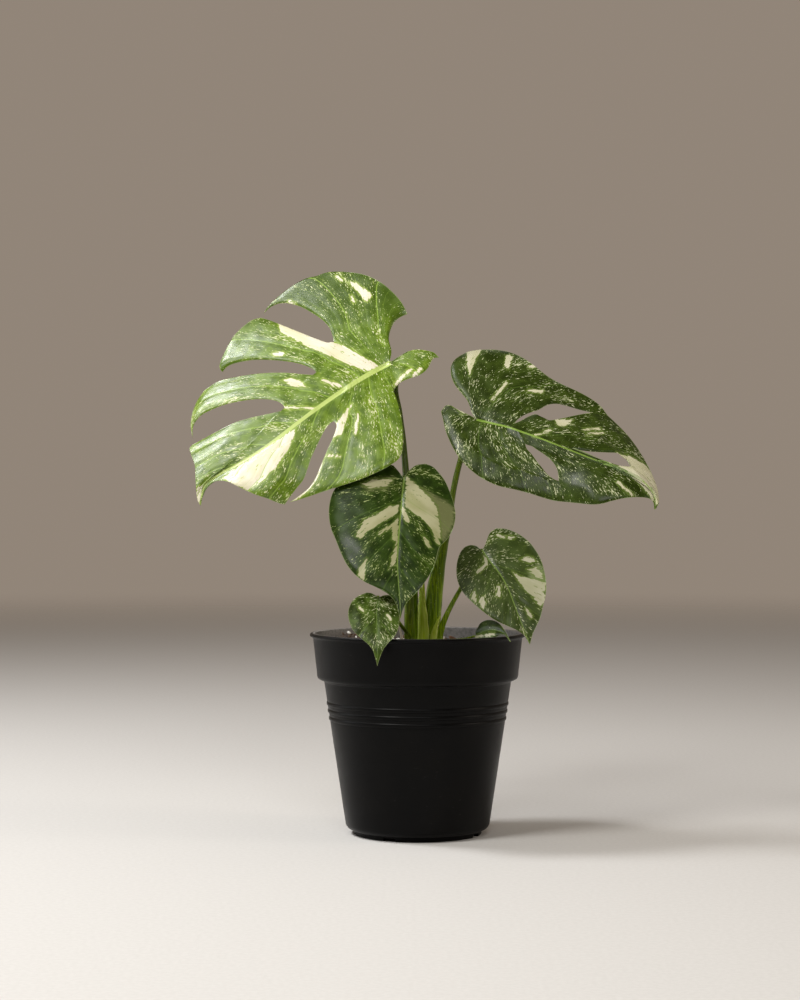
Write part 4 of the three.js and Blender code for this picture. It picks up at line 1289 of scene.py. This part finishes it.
def sheath_mesh(sheath):
    """A thin curved wing round the foot of a stalk, with a thinned edge."""
    stops = front_stops([stop[:4] for stop in sheath["route"]], sheath["foot"])
    angles = np.array([[stop[4]] for stop in sheath["route"]], float)
    _, rings, right, back = tube_frames(np.hstack([stops, angles]), SHEATH_STEP)
    across = np.linspace(-1, 1, SHEATH_COLUMNS + 1)
    turn = np.radians(sheath["facing"] + rings[:, 4:5] * across[None])
    way = across_ways(right, back, turn)
    thin = sheath["thickness"] * (1 - 0.75 * np.abs(across) ** 3)
    ripple = 0.25 * np.sin(across[None] * 9 + np.arange(len(rings))[:, None] * 0.4) * across[None] ** 2
    outer = rings[:, None, :3] + way * (rings[:, 3:4] + ripple)[..., None]
    inner = rings[:, None, :3] + way * (rings[:, 3:4] + ripple - thin[None])[..., None]
    mesh = grid_mesh(np.concatenate([outer, inner[:, ::-1]], axis=1), capped=False)
    edge = np.concatenate([1 - np.abs(across), 1 - np.abs(across[::-1])])
    point_values(mesh, "edge", np.tile(edge, len(rings)))
    return mesh


# Pot and soil


def arc(centre, radius, start, end, steps):
    """Points along an arc, its turns in degrees."""
    turns = np.radians(np.linspace(start, end, steps))
    return [(centre[0] + radius * math.cos(t), centre[1] + radius * math.sin(t)) for t in turns]


def body_radius(z):
    slope = (POT["shoulder"] - POT["heel_radius"]) / (POT["shoulder_height"] - POT["heel_height"])
    return POT["heel_radius"] + slope * (z - POT["heel_height"])


def straight(start, end, count):
    """Evenly spaced points from one to another."""
    return list(zip(*(np.linspace(a, b, count) for a, b in zip(start, end))))


def body_line(low, high):
    return [(body_radius(z), z) for z in np.arange(low, high, BODY_STEP)]


def pot_profile():
    """The pot's section as radius and height, from the underside's middle round to the floor inside."""
    line = straight((0, 4), (46, 4), 24) + FOOT_SECTION
    low = POT["heel_height"]
    reach, depth = RIB_GROOVE
    for rib in POT["ribs"]:
        line += body_line(low, rib - RIB_ROOM[0])
        line += [(body_radius(rib - reach) - depth, rib - reach)]
        line += [(body_radius(rib) + r, rib + z) for z, r in RIB_SECTION]
        line += [(body_radius(rib + reach) - depth, rib + reach)]
        low = rib + RIB_ROOM[1]
    line += body_line(low, POT["shoulder_height"] - 1) + COLLAR_SECTION
    line += straight((79.5, 127), (82.4, 153.4), 12)
    line += [(82.6, 154.2), (83, 154.8)] + arc((83.4, 156.4), 1.6, -75, 90, 9)
    line += arc((81.8, 157), 1, 90, 180, 5)
    line += straight((80.6, 155), (77.3, 125), 14) + INNER_STEP
    line += straight((71, 112), (55.4, 9), 16)
    line += [(54, 7), (51, 6.1)] + straight((49, 6), (0, 6), 14)
    return np.array(line)


def turned_from(turns, middle):
    """The ways in degrees from one turn to others, the short way round."""
    return (turns - middle + 180) % 360 - 180


def pot_turns(half):
    """The turns of the pot's stations, with a close pair at each side of every notch."""
    turns = set(np.round(np.arange(POT_SIDES) * 360 / POT_SIDES, 4))
    for middle in POT["notch_turns"]:
        for side in (middle - half, middle + half):
            turns -= {t for t in turns if abs(turned_from(t, side)) < 0.5}
            turns |= {round((side + d) % 360, 4) for d in NOTCH_PAIR}
    return np.array(sorted(turns))


def pot_mesh():
    profile = pot_profile()
    half = math.degrees(POT["notch_width"] / 2 / POT["foot_radius"])
    turns = pot_turns(half)
    angle = np.radians(turns)
    radius = profile[:, :1]
    height = np.tile(profile[:, 1:], (1, len(turns)))
    points = np.stack([radius * np.cos(angle), radius * np.sin(angle), height], axis=-1)
    foot = (profile[:, 1] < POT["notch_height"]) & (profile[:, 0] > POT["foot_inside"])
    for middle in POT["notch_turns"]:
        near = np.abs(turned_from(turns, middle)) < half
        points[np.ix_(foot, near, [2])] = POT["notch_height"]
    mesh = drilled(lathe_mesh(points))
    place = np.array([v.co[:] for v in mesh.vertices]) / MM
    wall = np.interp(place[:, 2], *WALL_MIDDLE)
    inside = (np.hypot(place[:, 0], place[:, 1]) < wall) & (place[:, 2] > POT["floor"])
    point_values(mesh, "inside", inside)
    return mesh


def lathe_mesh(points):
    """Rings from pole to pole joined into a closed skin."""
    rings, sides = points.shape[:2]
    ids = np.arange(rings * sides).reshape(rings, sides)
    ids[0] = ids[0, 0]
    ids[-1] = ids[-1, 0]
    after = np.roll(ids, -1, axis=1)
    faces = []
    for k in range(rings - 1):
        for corners in zip(ids[k], after[k], after[k + 1], ids[k + 1]):
            faces.append([int(v) for v in dict.fromkeys(corners)])
    used = sorted({v for face in faces for v in face})
    new_id = {v: i for i, v in enumerate(used)}
    faces = [[new_id[v] for v in face] for face in faces]
    return new_mesh(points.reshape(-1, 3)[used] * MM, faces)


def drilled(mesh):
    """The pot with its drain holes cut."""
    pot = placed("drilled", mesh)
    drills = []
    for turn in np.radians(POT["notch_turns"]):
        across = POT["drain_place"] * np.array([math.cos(turn), math.sin(turn)])
        bpy.ops.mesh.primitive_cylinder_add(
            vertices=DRAIN_SIDES,
            radius=POT["drain_radius"] * MM,
            depth=POT["drill_length"] * MM,
            location=(*(across * MM), POT["floor"] * MM),
        )
        drill = bpy.context.object
        cut = pot.modifiers.new("drain", "BOOLEAN")
        cut.object = drill
        cut.solver = "EXACT"
        drills.append(drill)
    shape = pot.evaluated_get(bpy.context.evaluated_depsgraph_get())
    finished = bpy.data.meshes.new_from_object(shape)
    for spare in [pot, *drills]:
        bpy.data.objects.remove(spare)
    finished.set_sharp_from_angle(angle=math.radians(SHARP_ANGLE))
    return finished


def soil_height(x, y):
    """The soil's surface: a mound, broad lumps and small crumbs."""
    per_lump = 2 * math.pi / LUMP_PITCH
    coarse = np.sin(x * per_lump + 1) * np.cos(y * per_lump)
    fine = 0.6 * np.sin((x + y) * per_lump * 2)
    mound = MOUND["height"] * bell(np.hypot(x - MOUND["x"], y - MOUND["y"]), MOUND["width"])
    level = SOIL_LEVEL + mound + 0.6 * (coarse + fine)
    flat = np.stack([x, y, np.zeros_like(x)], axis=-1).reshape(-1, 3)
    lumps = 0.7 * LUMPS(flat) + 0.45 * CRUMBS(flat) + 0.25 * GRAINS(flat)
    return level + lumps.reshape(np.shape(x))


def ring(radius, turn, height, x=0, y=0):
    height = np.full_like(turn, height)
    return np.stack([x + radius * np.cos(turn), y + radius * np.sin(turn), height], axis=-1)


def soil_mesh():
    radii = np.linspace(0, SOIL_RADIUS, SOIL_RINGS)
    turn = round_turns(SOIL_SIDES)
    x = radii[:, None] * np.cos(turn)
    y = radii[:, None] * np.sin(turn)
    top = np.stack([x, y, soil_height(x, y)], axis=-1)
    sides = [ring(r, turn, z) for r, z in SOIL_SECTION]
    return lathe_mesh(np.concatenate([top, sides])[::-1])


def ico_shape(levels):
    """The points and faces of a ball."""
    mesh = bpy.data.meshes.new("ball")
    ball = bmesh.new()
    bmesh.ops.create_icosphere(ball, subdivisions=levels, radius=1)
    ball.to_mesh(mesh)
    ball.free()
    points = np.array([v.co[:] for v in mesh.vertices])
    faces = [tuple(p.vertices) for p in mesh.polygons]
    bpy.data.meshes.remove(mesh)
    return points, faces


def chip_mesh(rng, balls, place, size, squash):
    """A broken lump: a jittered ball, flattened and turned at random."""
    turn = rng.uniform(0, 2 * math.pi)
    tilt = rng.normal(0, 0.35, 2)
    balls = balls * (1 + rng.normal(0, 0.16, (len(balls), 1)))
    balls = balls * np.array([size * rng.uniform(0.8, 1.5), size * rng.uniform(0.5, 0.9), size * squash])
    c, s = math.cos(turn), math.sin(turn)
    spin = np.array([[c, -s, 0], [s, c, 0], [tilt[0], tilt[1], 1]])
    return balls @ spin.T + place


def scatter(name, seed, count, sizes, squash, sink, material):
    """Many small lumps lying on the soil, as one piece."""
    rng = np.random.default_rng(seed)
    ball, ball_faces = ico_shape(2)
    points = []
    faces = []
    shade = []
    for _ in range(count):
        radius = SCATTER_RADIUS * math.sqrt(rng.uniform(0.02, 1))
        turn = rng.uniform(0, 2 * math.pi)
        x, y = radius * math.cos(turn), radius * math.sin(turn)
        size = rng.uniform(*sizes)
        reach = size * 1.6
        from_crown = math.hypot(x - CROWN["x"], y - CROWN["y"])
        if math.hypot(x, y) > SCATTER_EDGE - reach or from_crown < CROWN["clear"] + reach:
            continue
        place = np.array([x, y, float(soil_height(np.array(x), np.array(y))) + size * squash * sink])
        start = len(points) * len(ball)
        points.append(chip_mesh(rng, ball, place, size, squash))
        faces += [[start + v for v in face] for face in ball_faces]
        shade += [rng.uniform()] * len(ball)
    mesh = new_mesh(np.vstack(points) * MM, faces)
    point_values(mesh, "shade", shade)
    piece(name, mesh, material, "soil")


# Materials


class Shader:
    """One material's nodes, wired with short calls."""

    def __init__(self, name, shine=0.5):
        self.material = bpy.data.materials.new(name)
        self.material.use_nodes = True
        self.nodes = self.material.node_tree.nodes
        self.links = self.material.node_tree.links
        self.surface = self.nodes["Principled BSDF"]
        self.surface.inputs["Specular IOR Level"].default_value = shine
        self.place = self.node("ShaderNodeTexCoord").outputs["Object"]

    def node(self, kind, **settings):
        made = self.nodes.new(kind)
        for key, value in settings.items():
            setattr(made, key, value)
        return made

    def put(self, socket, value):
        if isinstance(value, bpy.types.NodeSocket):
            self.links.new(value, socket)
        elif isinstance(value, (tuple, list)) and len(value) == 3 and socket.type == "RGBA":
            socket.default_value = (*value, 1)
        else:
            socket.default_value = value

    def math(self, operation, *values):
        made = self.node("ShaderNodeMath", operation=operation)
        for socket, value in zip(made.inputs, values):
            self.put(socket, value)
        return made.outputs[0]

    def vector(self, operation, a, b=None, scale=None):
        made = self.node("ShaderNodeVectorMath", operation=operation)
        self.put(made.inputs[0], a)
        if b is not None:
            self.put(made.inputs[1], b)
        if scale is not None:
            self.put(made.inputs["Scale"], scale)
        return made.outputs["Value" if operation == "LENGTH" else "Vector"]

    def attribute(self, name, output="Fac"):
        return self.node("ShaderNodeAttribute", attribute_name=name).outputs[output]

    def parts(self, vector):
        made = self.node("ShaderNodeSeparateXYZ")
        self.put(made.inputs[0], vector)
        return made.outputs

    def noise(self, scale, detail, vector=None, rough=0.5):
        made = self.node("ShaderNodeTexNoise")
        self.put(made.inputs["Vector"], self.place if vector is None else vector)
        made.inputs["Scale"].default_value = scale
        made.inputs["Detail"].default_value = detail
        made.inputs["Roughness"].default_value = rough
        return made.outputs["Fac"]

    def fibres(self, scale, stretch):
        """Noise drawn out upwards."""
        return self.noise(scale, 2.0, self.vector("MULTIPLY", self.place, (1, 1, stretch)))

    def step(self, value, low, high, start=0.0, end=1.0):
        made = self.node("ShaderNodeMapRange", interpolation_type="SMOOTHSTEP")
        for socket, item in zip(made.inputs, (value, low, high, start, end)):
            self.put(socket, item)
        return made.outputs[0]

    def mix(self, amount, a, b):
        made = self.node("ShaderNodeMix", data_type="RGBA")
        self.put(made.inputs[0], amount)
        self.put(made.inputs[6], a)
        self.put(made.inputs[7], b)
        return made.outputs[2]

    def streaks(self, scale, reach):
        """Noise drawn out along the blade's grain, about its middle in units of its spread."""
        grain = self.attribute("grain", "Vector")
        total = None
        for i in range(STREAK_TAPS):
            way = (i - (STREAK_TAPS - 1) / 2) * reach * MM / STREAK_TAPS
            shifted = self.vector("ADD", self.place, self.vector("SCALE", grain, scale=way))
            tap = self.noise(scale, 1.0, shifted)
            total = tap if total is None else self.math("ADD", total, tap)
        return self.math("MULTIPLY_ADD", total, STREAK_GAIN / STREAK_TAPS, -STREAK_GAIN / 2)

    def bump(self, height, distance, strength):
        made = self.node("ShaderNodeBump")
        made.inputs["Strength"].default_value = strength
        made.inputs["Distance"].default_value = distance * MM
        self.put(made.inputs["Height"], height)
        self.put(self.surface.inputs["Normal"], made.outputs[0])

    def finish(self, color, roughness):
        self.put(self.surface.inputs["Base Color"], color)
        self.put(self.surface.inputs["Roughness"], roughness)
        return self.material


class BladeSkin(Shader):
    """The skin of a blade, laid on in steps that each take a colour and give the next."""

    def __init__(self, name, look):
        super().__init__(name, look["shine"])
        self.look = look
        self.fine = self.streaks(*FINE_STREAKS)
        self.broad = self.streaks(*BROAD_STREAKS)
        self.sector = self.streaks(*SECTOR_STREAKS)
        self.mottle = self.noise(120, 2.0)

    def ground(self):
        """Green, a little lighter in soft patches, and darkened above a height as painted shade."""
        look = self.look
        color = self.mix(self.step(self.mottle, 0.35, 0.65), look["dark"], look["green"])
        color = self.mix(self.step(self.sector, 0.3, 2.2, 0, 0.4), color, look["fresh"])
        # Painted shade: a darker green above a height.
        if "painted_shade" in look:
            height = self.parts(self.place)[2]
            color = self.mix(self.step(height, *look["painted_shade_above"], 0, 0.75), color, look["painted_shade"])
        return color

    def flecked(self, color):
        """Cream flecks along the veins, each in a thin paler green surround."""
        look = self.look
        lean = self.math("MULTIPLY", self.sector, look["sectors"])
        small = self.math("ADD", self.math("SUBTRACT", self.fine, look["small_after"]), lean)
        large = self.math("ADD", self.math("SUBTRACT", self.broad, look["large_after"]), lean)
        large = self.math("MULTIPLY_ADD", self.fine, 0.25, large)
        color = self.mix(self.step(large, -0.55, -0.1, 0, 0.7), color, look["pale"])
        color = self.mix(self.step(small, -0.5, -0.1, 0, 0.5), color, look["pale"])
        flecks = self.step(self.math("MAXIMUM", small, large), 0.0, 0.16)
        flecks = self.math("MULTIPLY", flecks, self.step(self.noise(260, 1.0), 0.3, 0.6, 0.6, 1.0))
        return self.mix(flecks, color, look["fleck"])

    def washed(self, color):
        """Dull grey-green patches where only the deeper layers are pale."""
        wash = self.math("MULTIPLY_ADD", self.broad, 0.8, self.attribute("wash"))
        return self.mix(self.step(wash, -2.5, 2.5, 0, 0.85), color, self.look["wash"])

    def patched(self, color):
        """Cream patches with ragged edges, and green flecks inside them."""
        look = self.look
        ragged = self.math("MULTIPLY_ADD", self.broad, 0.5, self.attribute("splash"))
        ragged = self.math("MULTIPLY_ADD", self.fine, 0.22, ragged)
        color = self.mix(self.step(ragged, -2.2, -0.1, 0, 0.6), color, look["pale"])
        inner = self.math("SUBTRACT", self.math("MULTIPLY", self.broad, -1), look["inner_green"])
        blush = self.mix(self.step(self.sector, -1.2, 1.2), look["cream"], look["ivory"])
        cream = self.mix(self.step(inner, -0.2, 0.25, 0, 0.8), blush, look["pale"])
        return self.mix(self.step(ragged, -0.1, 0.2), color, cream)

    def veined(self, color):
        """Lateral veins, lime midrib and a pale thin margin."""
        look = self.look
        main, fine, out = self.parts(self.attribute("vein", "Vector"))
        room = self.step(self.attribute("room"), 1.5, 4.0)
        share = look["vein_share"]
        for way, inner, outer, most in ((main, 0.2, 0.7, share), (fine, 0.1, 0.35, share * 0.3)):
            line = self.step(self.math("ABSOLUTE", way), inner, outer, most, 0)
            color = self.mix(self.math("MULTIPLY", room, line), color, look["vein"])
        along = self.attribute("along")
        half_width = self.math("MULTIPLY_ADD", along, -look["midrib"] * 0.7, look["midrib"])
        past = self.math("SUBTRACT", out, half_width)
        color = self.mix(self.step(past, -0.25, 0.35, 1, 0), color, look["rib"])
        return self.mix(self.step(self.attribute("edge"), 0.1, 0.5, 0.35, 0), color, look["rib_pale"])


def blade_material(name, look):
    s = BladeSkin(name, look)
    under = s.attribute("under")
    color = s.veined(s.patched(s.washed(s.flecked(s.ground()))))
    color = s.mix(under, color, s.mix(0.4, color, look["under"]))
    rough = s.step(s.mottle, 0.3, 0.7, look["rough"] - 0.04, look["rough"] + 0.06)
    rough = s.math("MULTIPLY_ADD", under, 0.25, rough)
    s.bump(s.math("MULTIPLY_ADD", s.fine, 0.1, s.noise(900, 2.0)), 0.08, 0.4)
    return s.finish(color, rough)


def stalk_material(name, dark, light):
    s = Shader(name, 0.3)
    lines = s.fibres(900, 0.06)
    blotch = s.noise(60, 3.0)
    color = s.mix(s.step(lines, 0.35, 0.65), dark, light)
    color = s.mix(s.step(blotch, 0.4, 0.7, 0, 0.5), color, dark)
    color = s.mix(s.step(s.noise(700, 1.0), 0.68, 0.74, 0, 0.6), color, STALK_SPECK)
    color = s.mix(s.step(s.attribute("along"), 0, 14, 0.35, 0), color, STALK_FOOT_GREEN)
    height = s.parts(s.place)[2]
    color = s.mix(s.step(height, *OLIVE_HEIGHTS, 0, 0.75), color, STALK_OLIVE)
    s.bump(lines, 0.12, 0.6)
    return s.finish(color, s.step(blotch, 0.3, 0.7, 0.34, 0.48))


def sheath_material(name, ground, pale, roughness):
    s = Shader(name, 0.3)
    lines = s.fibres(1100, 0.05)
    color = s.mix(s.step(lines, 0.3, 0.7, 0, 0.5), ground, pale)
    color = s.mix(s.step(s.attribute("edge"), 0.03, 0.22, 1, 0), color, pale)
    s.bump(lines, 0.15, 0.7)
    return s.finish(color, s.step(lines, 0.3, 0.7, roughness, roughness + 0.1))


def pot_material():
    s = Shader("pot", 0.1)
    wear = s.noise(24, 4.0, rough=0.65)
    scuff = s.noise(180, 5.0, s.vector("MULTIPLY", s.place, (1, 1, 4)), rough=0.7)
    scuffs = s.math("MULTIPLY", s.step(scuff, 0.62, 0.72), s.step(wear, 0.45, 0.65))
    color = s.mix(s.step(wear, 0.35, 0.7), *POT_BLACK)
    color = s.mix(s.math("MULTIPLY", scuffs, 0.4), color, SCUFF_GREY)
    dust = s.step(s.noise(420, 4.0, rough=0.7), 0.32, 0.6, 0.65, 1.0)
    color = s.mix(s.math("MULTIPLY", dust, s.attribute("inside")), color, DUST_GREY)
    s.bump(s.noise(2600, 2.0), 0.05, 0.5)
    return s.finish(color, s.step(wear, 0.3, 0.7, 0.34, 0.44))


def soil_material():
    s = Shader("soil")
    fine = s.noise(900, 4.0, rough=0.7)
    color = s.mix(s.step(s.noise(110, 3.0), 0.4, 0.65), *SOIL_BROWN)
    color = s.mix(s.step(fine, 0.5, 0.7), color, SOIL_FLECK)
    s.bump(fine, 0.6, 1.0)
    return s.finish(color, s.step(fine, 0.3, 0.7, 0.8, 0.98))


def lump_material(name, dark, light, roughness=0.85):
    s = Shader(name)
    fine = s.noise(1400, 4.0, rough=0.7)
    color = s.mix(s.attribute("shade"), dark, light)
    color = s.mix(s.step(fine, 0.45, 0.7, 0, 0.5), color, light)
    s.bump(fine, 0.3, 0.9)
    return s.finish(color, s.step(fine, 0.3, 0.7, roughness - 0.1, roughness + 0.08))


def floor_material():
    """A matt light grey that fades out towards the floor's edge."""
    s = Shader("stage")
    color = s.mix(s.step(s.noise(300, 3.0), 0.3, 0.7), *FLOOR_GREY)
    blend = s.node("ShaderNodeMixShader")
    s.put(blend.inputs[0], s.step(s.vector("LENGTH", s.place), *FLOOR_FADE))
    s.put(blend.inputs[1], s.surface.outputs[0])
    s.put(blend.inputs[2], s.node("ShaderNodeBsdfTransparent").outputs[0])
    s.put(s.nodes["Material Output"].inputs[0], blend.outputs[0])
    return s.finish(color, 0.9)


# Building everything


def build_blades():
    """All blades as pieces, and their solids by name."""
    solids = {}
    slots = {"leaf_a": "leaf_light", "leaf_d": "leaf_young", "leaf_f": "leaf_young"}
    for blade in BLADES:
        name = blade["name"]
        mesh, solids[name] = blade_mesh(blade)
        material = blade_material(name + "_skin", {**LEAF, **LOOKS[name]})
        piece("blade" + name[-2:], mesh, material, slots.get(name, "leaf_dark"), name)
    return solids


def stalk_shape(turn, along):
    """A shallow groove down the stalk's front, and a faint unevenness."""
    groove = GROOVE_DEPTH * bell(turn - GROOVE_TURN, GROOVE_WIDTH)
    return 1 - groove + 0.02 * np.sin(along * 60 + 3 * np.cos(turn))


def build_stalks(solids):
    green = stalk_material("stalk_green", *STALK_GREEN)
    for stalk in STALKS:
        name = stalk["name"]
        stops = front_stops(stalk["route"], STALK_FOOT)
        if "knee" in stalk:
            stops = np.vstack([stops, knee_stops(stalk["knee"], solids)])
        mesh = tube_mesh(stops, STALK_SIDES, STALK_STEP, stalk_shape)
        piece("stalk" + name[-2:], mesh, green, "stalk", name)
        if "wing" in stalk:
            wing = tube_mesh(front_stops(stalk["wing"], STALK_FOOT), WING_SIDES, STALK_STEP)
            piece("wing" + name[-2:], wing, green, "stalk", name)
    young = stalk_material("young_stalk", *SPEAR_GREEN_AND_PAINTED_LIGHT)
    mesh = tube_mesh(front_stops(SPEAR, STALK_FOOT), SPEAR_SIDES, SPEAR_STEP)
    piece("young_leaf", mesh, young, "sheath", "spear")
    build_sheaths()
    build_crown(green)


def build_sheaths():
    fresh = sheath_material("sheath_green", *SHEATH_GREEN_AND_PAINTED_LIGHT, 0.4)
    dry = sheath_material("sheath_dry", *DRY_BROWN, 0.75)
    for sheath in SHEATHS:
        name = sheath["name"]
        withered = name == "dry_sheath"
        material = dry if withered else fresh
        slot = "dry_sheath" if withered else "sheath"
        piece(name + "_skin", sheath_mesh(sheath), material, slot, name)


def build_crown(material):
    turn = round_turns(CROWN_SIDES)
    rings = []
    for radius, z in CROWN_SECTION:
        uneven = radius * (1 + 0.03 * np.sin(turn * 5 + z))
        rings.append(ring(uneven, turn, z, CROWN["x"], CROWN["y"]))
    mesh = lathe_mesh(np.array(rings))
    point_values(mesh, "along", np.zeros(len(mesh.vertices)))
    piece("stem_base", mesh, material, "stalk", "crown")


def build_pot():
    piece("pot_shell", pot_mesh(), pot_material(), "pot", "pot")
    piece("potting_mix", soil_mesh(), soil_material(), "soil", "soil")
    bark = lump_material("bark", *BARK_BROWN)
    stone = lump_material("perlite", *PERLITE_WHITE, 0.8)
    crumb = lump_material("crumb", *CRUMB_BROWN)
    scatter("bark_chips", 3, 75, (1.8, 4.2), 0.42, 0.15, bark)
    scatter("perlite_grains", 4, 75, (0.8, 2.2), 0.8, 0.25, stone)
    scatter("soil_crumbs", 6, 420, (0.6, 1.7), 0.75, 0.2, crumb)


# The studio


def area_light(name, place, aim, size, power, color):
    light = bpy.data.lights.new(name, "AREA")
    light.shape = "RECTANGLE"
    light.size, light.size_y = size
    light.energy = power
    light.color = color
    lamp = placed(name, light)
    lamp.location = place
    lamp.rotation_euler = (Vector(aim) - Vector(place)).to_track_quat("-Z", "Y").to_euler()


def build_world():
    """Plain light from all round, weaker from the front."""
    world = bpy.data.worlds.new("studio")
    world.use_nodes = True
    nodes, links = world.node_tree.nodes, world.node_tree.links
    back = nodes["Background"]
    back.inputs["Color"].default_value = WORLD_COLOR
    place = nodes.new("ShaderNodeTexCoord")
    parts = nodes.new("ShaderNodeSeparateXYZ")
    fade = nodes.new("ShaderNodeMapRange")
    fade.interpolation_type = "SMOOTHSTEP"
    for socket, value in WORLD_FADE.items():
        fade.inputs[socket].default_value = value
    links.new(place.outputs["Generated"], parts.inputs["Vector"])
    links.new(parts.outputs["Y"], fade.inputs["Value"])
    links.new(fade.outputs["Result"], back.inputs["Strength"])
    bpy.context.scene.world = world


def build_stage():
    bpy.ops.mesh.primitive_circle_add(vertices=128, radius=FLOOR_RADIUS, fill_type="NGON")
    floor = bpy.context.object
    floor.name = "floor"
    floor.data.materials.append(floor_material())
    build_world()
    bpy.context.scene.view_settings.view_transform = "Standard"
    for name, lamp in LAMPS.items():
        area_light(name, *lamp)


def build_camera():
    lens = bpy.data.cameras.new("camera")
    lens.lens = LENS
    lens.sensor_width = SENSOR_WIDTH
    camera = placed("camera", lens)
    camera.location = Vector(EYE) * MM
    camera.rotation_euler = (math.radians(90), 0, 0)
    bpy.context.scene.camera = camera


build_camera()
build_stage()
build_pot()
build_stalks(build_blades())
